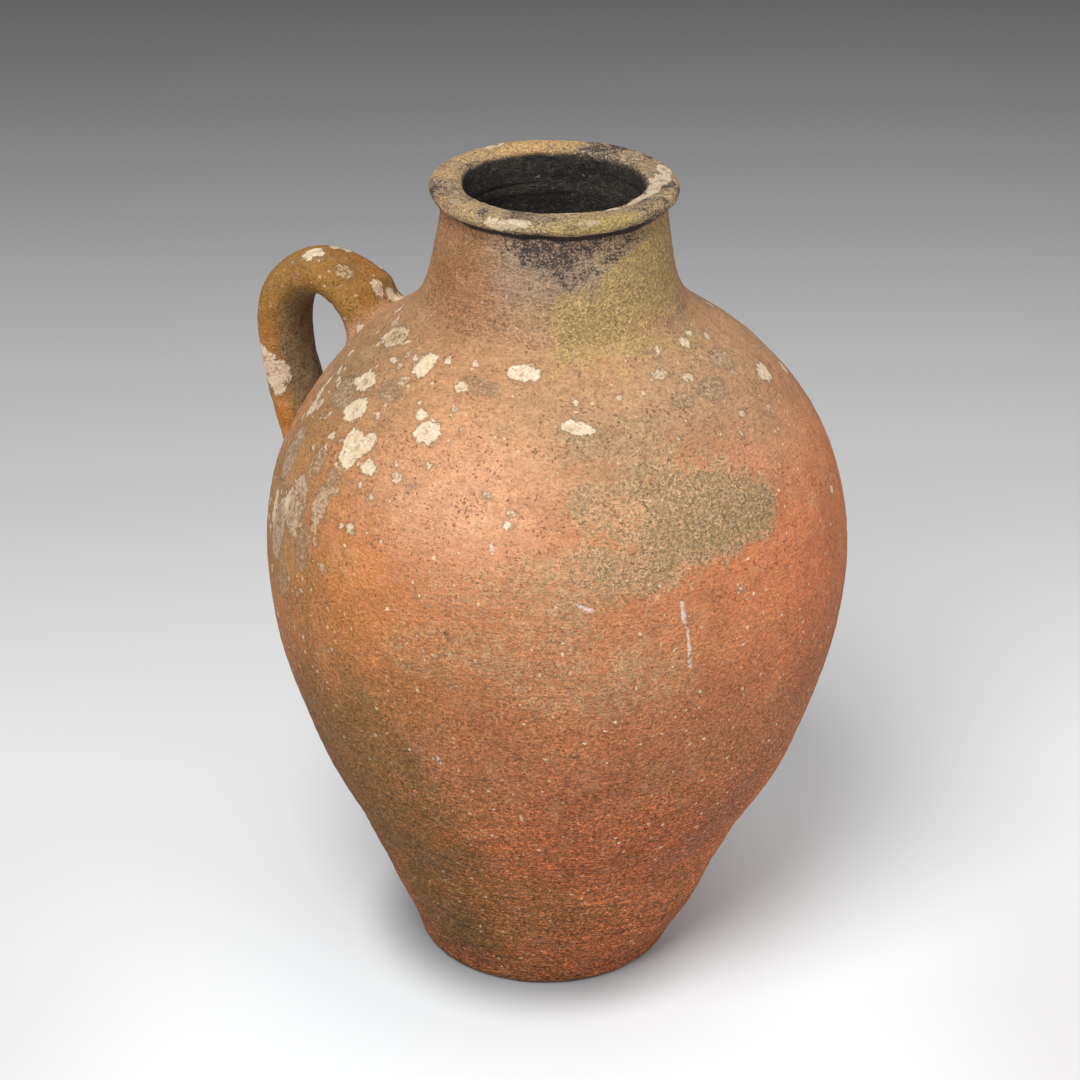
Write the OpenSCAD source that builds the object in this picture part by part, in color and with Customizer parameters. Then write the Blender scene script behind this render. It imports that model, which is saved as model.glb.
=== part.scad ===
// Olive jar: a large unglazed terracotta storage jar with one strap handle.
// Z is up, the jar's axis is Z and it stands on Z = 0. The handle lies in
// the plane Y = 0, on the -X side.

/* [Jar] */
// Height from the floor to the top of the lip
jar_height = 572; // [520:1:620]
// Largest outer diameter, at the belly
belly_d = 401; // [370:1:420]
// Outer diameter of the foot, on the floor
foot_d = 176; // [160:1:200]
// Height of the belly's widest ring as a part of the wall's height
belly_at = 0.56; // [0.5:0.01:0.62]

/* [Wall] */
// Thickness of the wall
wall_t = 12; // [9:0.5:14]
// Thickness of the floor slab
base_t = 16; // [12:1:22]
// Radius of the worn edge under the foot
foot_edge_r = 3; // [1:0.5:4]

/* [Neck and lip] */
// Outer diameter of the neck where the lip sits on it
neck_d = 150; // [144:1:156]
// Outer diameter of the rolled lip
rim_d = 164; // [160:1:176]
// Diameter of the round mouth
mouth_d = 120; // [112:1:124]
// Height of the rolled lip
rim_h = 24; // [20:1:26]
// Height of the round wall inside the mouth
mouth_h = 15; // [12:1:16]

/* [Handle] */
// Width of the strap
strap_w = 50; // [40:1:56]
// Thickness of the strap
strap_t = 32; // [26:1:34]
// How much wider the strap's ends are where they are smeared onto the wall
root_flare = 1.45; // [1.2:0.05:1.6]
// Sides of the strap's oval section
strap_sides = 32; // [24:4:40]

/* [Finish] */
// Segments round the jar
round_fn = 144; // [96:24:240]

/* [Hidden] */

foot_r = foot_d / 2;
belly_r = belly_d / 2;
neck_r = neck_d / 2;
rim_r = rim_d / 2;
mouth_r = mouth_d / 2;
wall_top = jar_height - rim_h;
belly_z = belly_at * wall_top;
steps = 4;

// The outline of the wall, as the part of the way up and the part of the way
// out. Below the belly: from the foot to the widest ring.
rise_lower = [[0.24, 0.30], [0.37, 0.47], [0.52, 0.68], [0.67, 0.83], [0.82, 0.945]];
// Above the belly: from the widest ring to the neck's top.
rise_upper = [
    [0.095, 0.99], [0.235, 0.945], [0.355, 0.855], [0.45, 0.74], [0.52, 0.635], [0.58, 0.535],
    [0.64, 0.40], [0.71, 0.215], [0.76, 0.125], [0.82, 0.07], [0.90, 0.036]
];

// Stations of the outer face, from the floor up, as [radius, height]
stations = concat(
    [[foot_r, 0], [foot_r + 0.07 * (belly_r - foot_r), base_t]],
    [for (p = rise_lower) [foot_r + p[1] * (belly_r - foot_r), p[0] * belly_z]],
    [[belly_r, belly_z]],
    [for (p = rise_upper) [neck_r + p[1] * (belly_r - neck_r), belly_z + p[0] * (wall_top - belly_z)]],
    [[neck_r, wall_top]]
);

// Where one ring of clay ends and the next begins, by station
cut_base = 1;
cut_foot = 2;
cut_lower = 5;
cut_belly = 8;
cut_upper = 12;
cut_shoulder = 16;

// A smooth curve through a list of points: the point a part t of the way from
// the second to the third of four neighbours
function between(a, b, c, d, t) =
    0.5 * (2 * b + (c - a) * t + (2 * a - 5 * b + 4 * c - d) * t * t + (3 * b - a - 3 * c + d) * t * t * t);
function at(list, i) = list[max(0, min(len(list) - 1, i))];
function smooth(list, n) = [
    for (i = [0:len(list) - 2]) for (k = [0:n - 1])
        between(at(list, i - 1), list[i], list[i + 1], at(list, i + 2), k / n),
    list[len(list) - 1]
];
function unit(v) = v / norm(v);

outer = smooth(stations, steps);
count = len(outer);

// The wall is this thick at each sample: a little thicker at the foot, and at
// the neck's top it comes in to the mouth
function thick(i) =
    i <= cut_foot * steps ? wall_t + 3
    : i <= cut_lower * steps ? wall_t + 3 * (cut_lower * steps - i) / ((cut_lower - cut_foot) * steps)
    : wall_t;
// Straight in at the floor slab, square to the wall elsewhere
function inward(i) = i <= cut_base * steps ? [-1, 0] : let (d = unit(at(outer, i + 1) - at(outer, i - 1))) [-d[1], d[0]];
function inner(i) = outer[i] + thick(i) * inward(i);

// A ring of wall between two samples, closed square to the wall at both ends
module ring(from, to) {
    rotate_extrude($fn = round_fn) polygon(concat(
        [for (i = [from:to]) outer[i]],
        [for (i = [to:-1:from]) inner(i)]
    ));
}

// The jar's outside, solid, to cut the handle's roots against
module outside() {
    rotate_extrude($fn = round_fn) polygon(concat([[0, 0]], outer, [[0, wall_top]]));
}

module base_disc() {
    color([0.66, 0.40, 0.26]) rotate_extrude($fn = round_fn) polygon(concat(
        [[0, 0], [foot_r - foot_edge_r, 0], [foot_r - 0.4 * foot_edge_r, 0.25 * foot_edge_r]],
        [[foot_r + 0.2, foot_edge_r]],
        [for (i = [2:cut_base * steps]) outer[i]],
        [[0, base_t]]
    ));
}
module foot_wall() {
    color([0.70, 0.42, 0.27]) ring(cut_base * steps, cut_foot * steps);
}
module lower_wall() {
    color([0.75, 0.45, 0.29]) ring(cut_foot * steps, cut_lower * steps);
}
module belly_wall() {
    color([0.79, 0.50, 0.33]) ring(cut_lower * steps, cut_belly * steps);
}
module upper_wall() {
    color([0.77, 0.50, 0.34]) ring(cut_belly * steps, cut_upper * steps);
}
module shoulder() {
    color([0.76, 0.56, 0.40]) ring(cut_upper * steps, cut_shoulder * steps);
}

// The neck's inside narrows evenly from the shoulder's inside to the mouth
module neck() {
    low = cut_shoulder * steps;
    foot = inner(low);
    color([0.70, 0.55, 0.38]) rotate_extrude($fn = round_fn) polygon(concat(
        [for (i = [low:count - 1]) outer[i]],
        [[mouth_r, wall_top], [mouth_r + 3, wall_top - 14]],
        [[0.3 * mouth_r + 0.7 * foot[0] - 3, 0.35 * wall_top + 0.65 * foot[1]]],
        [foot]
    ));
}

// The lip: a round wall inside, a nearly flat top, and a thin bead that stands
// out over a short collar
module rim() {
    full = rim_r - mouth_r;
    color([0.76, 0.66, 0.48]) rotate_extrude($fn = round_fn) polygon([
        [mouth_r, wall_top],
        [neck_r, wall_top],
        [neck_r + 0.4, wall_top + 0.33 * rim_h],
        [neck_r + 1.6, wall_top + 0.42 * rim_h],
        [rim_r - 2.6, wall_top + 0.48 * rim_h],
        [rim_r - 0.7, wall_top + 0.56 * rim_h],
        [rim_r, wall_top + 0.68 * rim_h],
        [rim_r - 0.3, wall_top + 0.81 * rim_h],
        [rim_r - 1.4, wall_top + 0.92 * rim_h],
        [rim_r - 0.18 * full, wall_top + 0.98 * rim_h],
        [rim_r - 0.38 * full, jar_height],
        [rim_r - 0.68 * full, wall_top + 0.99 * rim_h],
        [mouth_r + 0.10 * full, wall_top + 0.95 * rim_h],
        [mouth_r + 0.02 * full, wall_top + 0.88 * rim_h],
        [mouth_r, wall_top + mouth_h]
    ]);
}

// The strap's path as [reach, height], from inside the shoulder wall out over
// the bend and down into the side. It hangs on two points of the wall.
root_up = outer[13 * steps];
root_low = outer[9 * steps - 2];
path_points = concat(
    [for (p = [[-16, -18], [-3, 1], [6, 15], [24, 26], [41, 28], [57, 20], [69, 4], [74, -22]]) root_up + p],
    [for (p = [[16, 48], [8, 21], [-1, -2], [-9, -13]]) root_low + p]
);
path = smooth(path_points, steps);
// Half width and half thickness along the path, as parts of the strap's own
root_size = [
    root_flare, 0.68 * root_flare + 0.32, 0.36 * root_flare + 0.64, 1.04, 1, 1, 1, 1,
    1, 1.04, 0.5 * root_flare + 0.5, 0.85 * root_flare + 0.15
];
size_along = smooth([for (s = root_size) [s, 0]], steps);
top_cut = 2 * steps;
low_cut = 9 * steps;
path_end = len(path) - 1;

// One oval round the path at sample i
function oval(i) =
    let (
        d = unit(at(path, i + 1) - at(path, i - 1)),
        half_w = strap_w / 2 * size_along[i][0],
        half_t = strap_t / 2 * (0.35 + 0.65 * size_along[i][0])
    ) [
        for (k = [0:strap_sides - 1])
            let (
                a = 360 * k / strap_sides,
                w = half_w * cos(a),
                t = half_t * sin(a)
            ) [-(path[i][0] - t * d[1]), w, path[i][1] + t * d[0]]
    ];

// The strap between two samples of its path, with flat ends square to it
module strap(from, to) {
    rings = to - from + 1;
    n = strap_sides;
    polyhedron(
        points = [for (i = [from:to]) each oval(i)],
        faces = concat(
            [[for (k = [0:n - 1]) n - 1 - k]],
            [
                for (r = [0:rings - 2]) for (k = [0:n - 1]) let (
                    a = r * n + k,
                    b = r * n + (k + 1) % n
                ) each [[a, b, b + n], [a, b + n, a + n]]
            ],
            [[for (k = [0:n - 1]) (rings - 1) * n + k]]
        )
    );
}

module handle() {
    color([0.72, 0.43, 0.25]) strap(top_cut, low_cut);
}
module handle_root_upper() {
    color([0.70, 0.45, 0.28]) difference() {
        strap(0, top_cut);
        outside();
    }
}
module handle_root_lower() {
    color([0.68, 0.41, 0.26]) difference() {
        strap(low_cut, path_end);
        outside();
    }
}

base_disc();
foot_wall();
lower_wall();
belly_wall();
upper_wall();
shoulder();
neck();
rim();
handle();
handle_root_upper();
handle_root_lower();
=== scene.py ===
import math

import bpy
import numpy as np
from mathutils import Matrix, Vector


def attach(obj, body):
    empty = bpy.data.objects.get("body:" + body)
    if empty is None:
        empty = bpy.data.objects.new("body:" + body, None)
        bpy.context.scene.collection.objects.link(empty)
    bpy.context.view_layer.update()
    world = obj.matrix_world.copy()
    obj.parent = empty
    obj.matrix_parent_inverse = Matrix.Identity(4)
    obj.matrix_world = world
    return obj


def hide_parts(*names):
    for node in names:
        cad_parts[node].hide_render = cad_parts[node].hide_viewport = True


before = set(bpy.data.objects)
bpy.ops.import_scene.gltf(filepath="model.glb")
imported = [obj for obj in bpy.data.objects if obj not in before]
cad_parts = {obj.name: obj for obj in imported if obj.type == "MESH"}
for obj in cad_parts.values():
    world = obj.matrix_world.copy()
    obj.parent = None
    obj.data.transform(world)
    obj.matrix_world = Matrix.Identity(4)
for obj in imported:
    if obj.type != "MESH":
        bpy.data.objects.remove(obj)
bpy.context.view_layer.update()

# ------------------------------------------------------------------ camera
# The photograph's view: 28 degrees round from -Y towards +X, 26.4 degrees down.
TURN = math.radians(28.0)
PITCH = math.radians(26.397)
ROLL = math.radians(0.435)
fwd = Vector((-math.sin(TURN) * math.cos(PITCH), math.cos(TURN) * math.cos(PITCH), -math.sin(PITCH)))
right = Vector((math.cos(TURN), math.sin(TURN), 0.0))
up = right.cross(fwd)
right2 = right * math.cos(ROLL) + up * math.sin(ROLL)
up2 = up * math.cos(ROLL) - right * math.sin(ROLL)
cam_data = bpy.data.cameras.new("camera")
cam_data.lens = 100.0
cam_data.sensor_width = 36.0
cam_data.clip_start, cam_data.clip_end = 0.05, 60.0
camera = bpy.data.objects.new("camera", cam_data)
bpy.context.scene.collection.objects.link(camera)
place = Matrix((right2, up2, -fwd)).transposed().to_4x4()
place.translation = Vector((0.8687, -1.6473, 1.2326))
camera.matrix_world = place
bpy.context.scene.camera = camera

# ------------------------------------------------------------------ the jar's outline, in millimetres
FOOT_R, BELLY_R, NECK_R, MOUTH_R, RIM_R = 88.0, 200.5, 75.0, 60.0, 82.0
BASE_T, WALL_T, HEIGHT, WALL_TOP = 16.0, 12.0, 570.0, 548.0
BELLY_Z = 0.56 * WALL_TOP
RISE_LOWER = [(0.24, 0.30), (0.37, 0.47), (0.52, 0.68), (0.67, 0.83), (0.82, 0.945)]
RISE_UPPER = [(0.095, 0.99), (0.235, 0.945), (0.355, 0.855), (0.45, 0.74), (0.52, 0.635), (0.58, 0.535),
              (0.64, 0.40), (0.71, 0.215), (0.76, 0.125), (0.82, 0.07), (0.90, 0.036)]
STATIONS = np.array(
    [(FOOT_R, 0.0), (FOOT_R + 0.07 * (BELLY_R - FOOT_R), BASE_T)]
    + [(FOOT_R + b * (BELLY_R - FOOT_R), a * BELLY_Z) for a, b in RISE_LOWER]
    + [(BELLY_R, BELLY_Z)]
    + [(NECK_R + b * (BELLY_R - NECK_R), BELLY_Z + a * (WALL_TOP - BELLY_Z)) for a, b in RISE_UPPER]
    + [(NECK_R, WALL_TOP)])
CUT_BASE, CUT_FOOT, CUT_LOWER, CUT_BELLY, CUT_SHOULDER = 1, 2, 5, 8, 16
LAST = len(STATIONS) - 1


def spline(points, u):
    """A smooth curve through points, at each u from 0 to len(points) - 1."""
    p = np.asarray(points, float)
    u = np.clip(np.asarray(u, float), 0, len(p) - 1)
    i = np.minimum(u.astype(int), len(p) - 2)
    t = (u - i)[:, None]
    a, b, c, d = p[np.maximum(i - 1, 0)], p[i], p[i + 1], p[np.minimum(i + 2, len(p) - 1)]
    return 0.5 * (2 * b + (c - a) * t + (2 * a - 5 * b + 4 * c - d) * t ** 2 + (3 * b - a - 3 * c + d) * t ** 3)


def _soft_outline():
    """The outline with its small kinks rubbed out, as a table. It keeps its ends, and its bends at the foot and the neck."""
    uu = np.linspace(0, LAST, 4001)
    rz = spline(STATIONS, uu)
    arc = np.r_[0, np.cumsum(np.linalg.norm(np.diff(rz, axis=0), axis=1))]
    even = np.linspace(0, arc[-1], 2401)
    step = even[1]
    flat = np.stack([np.interp(even, arc, rz[:, 0]), np.interp(even, arc, rz[:, 1])], 1)
    u_even = np.interp(even, arc, uu)
    k = np.arange(-300, 301)
    out = flat.copy()
    for width, lo, hi in ((4.5, 1.5, 18.6), (15.0, 4.0, 13.0)):
        g = np.exp(-0.5 * (k * step / width) ** 2)
        g /= g.sum()
        pad = np.concatenate([2 * out[:1] - out[300:0:-1], out, 2 * out[-1:] - out[-2:-302:-1]])
        soft = np.stack([np.convolve(pad[:, i], g, "valid") for i in (0, 1)], 1)
        w = (smooth01((u_even - lo) / 1.0) * smooth01((hi - u_even) / 1.0))[:, None]
        out = out * (1 - w) + soft * w
    return uu, np.stack([np.interp(arc, even, out[:, 0]), np.interp(arc, even, out[:, 1])], 1)


def smooth01(x):
    x = np.clip(x, 0, 1)
    return x * x * (3 - 2 * x)


_uu, _rz = _soft_outline()


def outer(u):
    u = np.clip(np.asarray(u, float), 0, LAST)
    return np.stack([np.interp(u, _uu, _rz[:, 0]), np.interp(u, _uu, _rz[:, 1])], 1)


def tangent(u):
    e = 0.02
    d = outer(np.minimum(u + e, LAST)) - outer(np.maximum(u - e, 0))
    return d / np.linalg.norm(d, axis=1)[:, None]


def radius_at(z):
    return np.interp(z, _rz[:, 1], _rz[:, 0])


def u_at(z):
    return np.interp(z, _rz[:, 1], _uu)


# ------------------------------------------------------------------ noise, the same on every run
def _hash(i, seed):
    h = (i[..., 0].astype(np.uint64) * np.uint64(73856093)) ^ (i[..., 1].astype(np.uint64) * np.uint64(19349663)) \
        ^ (i[..., 2].astype(np.uint64) * np.uint64(83492791)) ^ np.uint64(seed * 2654435761 % 4294967296)
    h = (h ^ (h >> np.uint64(13))) * np.uint64(1274126177)
    h = h ^ (h >> np.uint64(16))
    return (h & np.uint64(0xFFFFF)).astype(np.float64) / 524287.5 - 1.0


def noise(p, seed=0):
    """Smooth value noise from -1 to 1 on a unit grid."""
    p = np.asarray(p, float) + 1000.0
    i = np.floor(p).astype(np.int64)
    f = p - i
    f = f * f * f * (f * (f * 6 - 15) + 10)
    out = 0.0
    for dx in (0, 1):
        wx = f[..., 0] if dx else 1 - f[..., 0]
        for dy in (0, 1):
            wy = f[..., 1] if dy else 1 - f[..., 1]
            for dz in (0, 1):
                wz = f[..., 2] if dz else 1 - f[..., 2]
                out = out + wx * wy * wz * _hash(i + np.array([dx, dy, dz]), seed)
    return out


def fbm(p, size, octaves=4, seed=0, gain=0.5):
    """Noise with detail. size is the largest feature's width in millimetres."""
    q = np.asarray(p, float) / size
    total, amp, norm = 0.0, 1.0, 0.0
    for k in range(octaves):
        total = total + amp * noise(q * 2 ** k + 17.3 * k, seed + k)
        norm += amp
        amp *= gain
    return total / norm * 1.6


# ------------------------------------------------------------------ how the hand-made wall leaves the true round
# Centre of the wall along the photograph's own left-right direction, in millimetres
LEAN_Z = [0, 34, 74, 120, 171, 285, 399, 485, 570]
LEAN_X = [-1.1, 2.8, 2.4, 2.8, 4.7, 5.5, 5.1, 0.9, 1.1]


def lean(p):
    x = spline(np.array(LEAN_X)[:, None], np.interp(p[:, 2], LEAN_Z, np.arange(len(LEAN_Z))))[:, 0]
    out = np.zeros_like(p)
    out[:, 0], out[:, 1] = x * math.cos(TURN), x * math.sin(TURN)
    return out


def unevenness(p):
    """Height of the surface above the true round, along its normal, in millimetres."""
    z = p[:, 2]
    az = np.arctan2(p[:, 1], p[:, 0])
    free = smooth01(z / 25.0)
    h = 1.1 * fbm(p, 150, 2, 3) * free
    h += 0.35 * fbm(p, 34, 3, 11) * free
    # throwing ridges, stronger low down and on the neck
    wob = z + 1.6 * np.sin(az + 0.8) + 0.8 * fbm(p, 120, 2, 21)
    amp = 0.10 + 0.22 * smooth01((150 - z) / 90) + 0.10 * smooth01((z - 480) / 20)
    h += amp * (np.sin(wob * 2 * math.pi / 9.5) * 0.6 + np.sin(wob * 2 * math.pi / 5.7 + 1.1) * 0.4) * free
    # the join above the foot ring, a shallow waist
    h -= 0.25 * np.exp(-((z - 74 - 2.0 * np.sin(az * 1 + 2)) / 9.0) ** 2)
    h += 1.4 * np.exp(-((z - 46) / 20.0) ** 2) + 1.2 * np.exp(-(z / 9.0) ** 2) - 0.9 * np.exp(-((z - 118) / 22.0) ** 2)
    # join at the belly's widest ring and under the shoulder, barely felt
    h -= 0.25 * np.exp(-((z - 206 - 2.5 * np.sin(az + 1)) / 4.0) ** 2)
    h -= 0.2 * np.exp(-((z - 330 - 2.0 * np.sin(az + 4)) / 4.0) ** 2)
    # grit under the skin and small dents
    h += 0.12 * fbm(p, 7, 3, 31)
    d = noise(p / 16.0, 44)
    h -= 0.5 * smooth01((d - 0.55) / 0.4)
    return h


# ------------------------------------------------------------------ lichen, placed one by one
# azimuth in degrees, height, half width round the jar, half length up the wall, tilt in degrees,
# tint from 0, cream, to 1, pinkish grey, and how solid it is
LICHEN = [
    (-134.8, 473, 13, 9, 20, 0.15, 0.45),
    (-110.6, 471, 8.0, 9.5, 10, 0.0, 1.0),
    (-92.0, 468, 4.4, 3.4, 0, 0.3, 0.7),
    (-72.6, 477, 12, 6.5, 0, 0.75, 1.0),
    (-54.7, 466, 3.4, 3.4, 0, 0.3, 0.7),
    (-55.6, 454, 12, 5.5, -12, 0.7, 0.8),
    (-123.6, 438, 13, 8.0, 30, 0.35, 0.85),
    (-127.0, 452, 10, 8.0, 0, 0.25, 0.75),
    (-147.0, 430, 4.0, 12, 20, 0.2, 0.7),
    (-144.5, 417, 6.0, 6.0, 20, 0.3, 0.6),
    (-125.9, 419, 5.0, 3.8, 0, 0.1, 0.7),
    (-116.9, 420, 11, 13, 18, 0.0, 1.0),
    (-112.5, 428, 6.5, 8.0, 0, 0.1, 0.8),
    (-109.1, 416, 6.0, 4.2, 0, 0.1, 0.9),
    (-103.0, 456, 3.2, 3.2, 0, 0.2, 0.8),
    (-100.2, 451, 5.4, 4.8, 0, 0.35, 0.9),
    (-96.2, 444, 10, 8.8, 0, 0.7, 0.95),
    (-100.1, 417, 4.4, 3.6, 0, 0.4, 0.5),
    (-77.3, 452, 2.6, 2.6, 0, 0.3, 0.7),
    (-131.6, 368, 5.5, 9.5, 10, 0.1, 0.8),
    (-125.0, 379, 2.6, 4.0, 0, 0.1, 0.7),
    (-118.6, 382, 8.5, 14, 8, 0.35, 0.35),
    (-123.1, 364, 3.6, 2.6, 0, 0.2, 0.6),
    (-139.2, 356, 4.5, 13, 12, 0.05, 0.9),
    (-107.4, 381, 4.4, 4.8, 0, 0.2, 0.7),
    (-110.2, 379, 2.2, 1.9, 0, 0.2, 0.6),
    (18.4, 447, 10, 6.0, 0, 0.2, 0.8),
    (-3.2, 479, 5.4, 4.2, 0, 0.4, 0.9),
    (4.5, 481, 4.0, 2.8, 0, 0.4, 0.8),
    (-41.1, 466, 3.2, 3.0, 0, 0.3, 0.6),
    (-23.2, 472, 6.5, 4.4, 0, 0.6, 0.5),
    (-14.4, 466, 5.4, 4.0, 0, 0.5, 0.45),
    (12.4, 373, 3.6, 2.2, 0, 0.2, 0.8),
    (-25.6, 352, 1.6, 1.8, 0, 0.2, 0.8),
    (-56.1, 356, 1.2, 2.4, 0, 0.2, 0.8),
    # the side that the photograph doesn't show, in the same spirit
    (150.0, 472, 9, 7, 0, 0.2, 0.9),
    (128.0, 456, 13, 10, 25, 0.5, 0.8),
    (108.0, 468, 6, 6, 0, 0.1, 0.9),
    (96.0, 441, 16, 9, -10, 0.4, 0.6),
    (77.0, 459, 5, 5, 0, 0.2, 0.8),
    (60.0, 446, 9, 11, 15, 0.1, 0.9),
    (48.0, 470, 6, 5, 0, 0.6, 0.7),
    (36.0, 430, 7, 5, 0, 0.3, 0.6),
    (118.0, 412, 8, 13, 12, 0.15, 0.8),
    (141.0, 420, 6, 5, 0, 0.4, 0.7),
    (163.0, 405, 5, 10, 0, 0.2, 0.6),
    (85.0, 398, 5, 4, 0, 0.3, 0.6),
    (65.0, 380, 9, 14, 6, 0.35, 0.4),
    (131.0, 370, 5, 10, 10, 0.1, 0.7),
    (-170.0, 374, 7, 12, 5, 0.2, 0.55),
    (103.0, 350, 3, 5, 0, 0.3, 0.5),
]


def _scatter():
    """Many small crusts: thick on the side by the handle, a few over the shoulder and the back."""
    rng = np.random.RandomState(23)
    out = []
    for count, a0, a1, z0, z1, r0, r1 in ((84, -152, -112, 335, 475, 1.6, 5.0), (16, -118, -70, 395, 480, 1.5, 3.0), (14, -30, 25, 430, 485, 1.6, 4.0),
                                          (36, -146, -110, 240, 345, 1.2, 2.6), (60, 60, 208, 370, 485, 1.6, 5.0), (24, 70, 200, 280, 380, 1.4, 3.4)):
        for _ in range(count):
            out.append((a0 + (a1 - a0) * rng.rand(), z0 + (z1 - z0) * rng.rand(), r0 + (r1 - r0) * rng.rand() ** 1.6,
                        r0 + (r1 - r0) * rng.rand() ** 1.6, 180 * rng.rand(), rng.rand() * 0.8, 0.35 + 0.6 * rng.rand()))
    return out


LICHEN += [
    # broad thin crusts on the side by the handle and over the shoulder
    (-128.0, 372, 15, 20, 8, 0.8, 0.40), (-134.0, 345, 13, 22, 0, 0.9, 0.36), (-121.0, 350, 9, 15, 5, 0.8, 0.16),
    (-140.0, 392, 11, 22, 0, 0.6, 0.26), (-129.0, 318, 8, 15, 0, 0.9, 0.18), (-126.0, 402, 9, 11, 0, 0.6, 0.25),
    (-133.0, 440, 14, 12, 0, 0.3, 0.24), (-116.0, 455, 10, 8, 0, 0.4, 0.16), (-86.0, 470, 14, 6, 0, 0.5, 0.10),
    (-10.0, 458, 14, 8, 0, 0.5, 0.22), (6.0, 466, 12, 8, 0, 0.5, 0.26), (-22.0, 459, 9, 6, 0, 0.5, 0.18),
    (-118.0, 400, 7, 9, 0, 0.6, 0.2), (118.0, 440, 18, 14, 0, 0.6, 0.24), (150.0, 400, 14, 18, 0, 0.6, 0.24), (85.0, 455, 14, 9, 0, 0.5, 0.22),
] + _scatter()


def wall_point(az, z):
    a = np.radians(az)
    r = float(radius_at(z))
    return np.array([r * math.cos(a), r * math.sin(a), z])


def lichen_fields(p, spots=LICHEN):
    """Distance inside the nearest patch in millimetres (negative outside), its tint and how solid it is."""
    best = np.full(len(p), -14.0)
    tint = np.zeros(len(p))
    firm = np.zeros(len(p))
    for az, z, w, h, tilt, kind, solid in spots:
        c = wall_point(az, z)
        near = np.nonzero(np.abs(p - c).max(axis=1) < max(w, h) + 16)[0]
        if not len(near):
            continue
        t = tangent(np.array([u_at(z)]))[0]
        a = math.radians(az)
        e1 = np.array([-math.sin(a), math.cos(a), 0.0])
        e2 = np.array([t[0] * math.cos(a), t[0] * math.sin(a), t[1]])
        k = math.radians(tilt)
        x, y = (p[near] - c) @ e1, (p[near] - c) @ e2
        x, y = x * math.cos(k) + y * math.sin(k), y * math.cos(k) - x * math.sin(k)
        q = np.hypot(x / w, y / h)
        g = np.hypot(x / w ** 2, y / h ** 2) / np.maximum(q, 1e-6)
        d = np.where(q < 1e-3, min(w, h), (1 - q) / np.maximum(g, 1e-6))
        d = np.clip(d, -14, min(w, h))
        win = d > best[near]
        idx = near[win]
        best[idx], tint[idx], firm[idx] = d[win], kind, solid
    return best, tint, firm


# ------------------------------------------------------------------ broad colour, before the fine grain
def srgb(*c):
    c = np.array(c, float) / 255
    return np.where(c <= 0.04045, c / 12.92, ((c + 0.055) / 1.055) ** 2.4)


def turn_gap(az, centre):
    return np.abs((az - centre + 180) % 360 - 180)


# azimuth, half width in degrees (None for all round), height, half height, colour, strength
REGIONS = [
    (None, None, 470, 66, (176, 137, 100), 0.90),
    (None, None, 535, 34, (158, 128, 94), 0.85),
    (None, None, 10, 50, (150, 90, 54), 0.70),
    # salmon patch on the upper belly, left of centre: partly the clay's own tint, partly a painted highlight where the
    # key light falls
    (-86, 32, 412, 46, (213, 160, 124), 0.95),
    (-4, 34, 330, 95, (200, 118, 78), 0.95),
    (-10, 20, 418, 26, (200, 138, 102), 0.80),
    (-52, 26, 325, 46, (186, 124, 84), 0.70),
    (-106, 20, 325, 65, (200, 128, 68), 0.80),
    (-136, 25, 370, 95, (166, 120, 68), 0.95),
    (-122, 26, 150, 110, (128, 86, 48), 0.90),
    (-97, 22, 265, 55, (168, 110, 58), 0.85),
    (-60, 24, 215, 55, (170, 99, 62), 0.85),
    (-98, 26, 130, 90, (132, 90, 42), 0.90),
    (-58, 30, 140, 60, (170, 100, 62), 0.90),
    (-26, 26, 150, 50, (152, 86, 56), 0.90),
    (-40, 30, 40, 34, (172, 102, 62), 0.80),
    (-88, 24, 40, 40, (126, 84, 48), 0.90),
    (-18, 7, 170, 24, (138, 100, 84), 0.55),
    (-27, 6, 142, 16, (132, 98, 84), 0.50),
    (-124, 32, 522, 34, (146, 102, 62), 0.95),
    (-108, 16, 500, 26, (160, 112, 76), 0.70),
    (-70, 25, 530, 26, (158, 134, 112), 0.95),
    (-66, 20, 505, 20, (164, 134, 102), 0.70),
    (4, 12, 490, 14, (146, 122, 98), 0.75),
    (-36, 24, 533, 24, (156, 132, 110), 0.95),
    (-36, 48, 455, 30, (168, 137, 103), 0.85),
    (-142, 28, 448, 40, (150, 119, 82), 0.90),
    # the side that the photograph doesn't show
    (70, 34, 300, 100, (196, 130, 90), 0.75),
    (120, 34, 170, 110, (156, 106, 66), 0.75),
    (165, 30, 260, 90, (180, 114, 72), 0.70),
    (60, 34, 520, 40, (160, 128, 90), 0.80),
    (125, 34, 520, 40, (152, 126, 100), 0.80),
    (175, 26, 520, 40, (158, 112, 72), 0.80),
    (100, 36, 430, 36, (190, 150, 112), 0.60),
    (30, 26, 250, 60, (186, 112, 74), 0.70),
]


def tone(p):
    """Broad colour of the outer wall at each point, linear RGB: mostly the clay's own colour, with a painted highlight
    on the upper belly and a painted lift low down.
    """
    az = np.degrees(np.arctan2(p[:, 1], p[:, 0]))
    z = p[:, 2]
    n1, n2, n3 = fbm(p, 70, 4, 51), fbm(p, 46, 4, 61), fbm(p, 110, 3, 71)
    col = np.tile(srgb(183, 117, 76), (len(p), 1))
    for k, (a, wa, zc, hz, c, s) in enumerate(REGIONS):
        q = ((z - zc + 14 * n1) / hz) ** 2
        if a is not None:
            q = q + (turn_gap(az, a + 9 * n2) / wa) ** 2
        w = s * np.exp(-q * 1.3) * (1 + 0.25 * n3)
        w = np.clip(w, 0, 1)[:, None]
        col = col * (1 - w) + srgb(*c) * w
    # brighter and redder low down, partly a painted lift against the shade of the relief there
    low = smooth01((235 - z) / 90)[:, None]
    col = col * (1 + low * np.array([0.36, 0.16, -0.06]))
    return np.clip(col * (1 + 0.07 * n2 + 0.05 * n1)[:, None], 0, 0.92)


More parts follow.
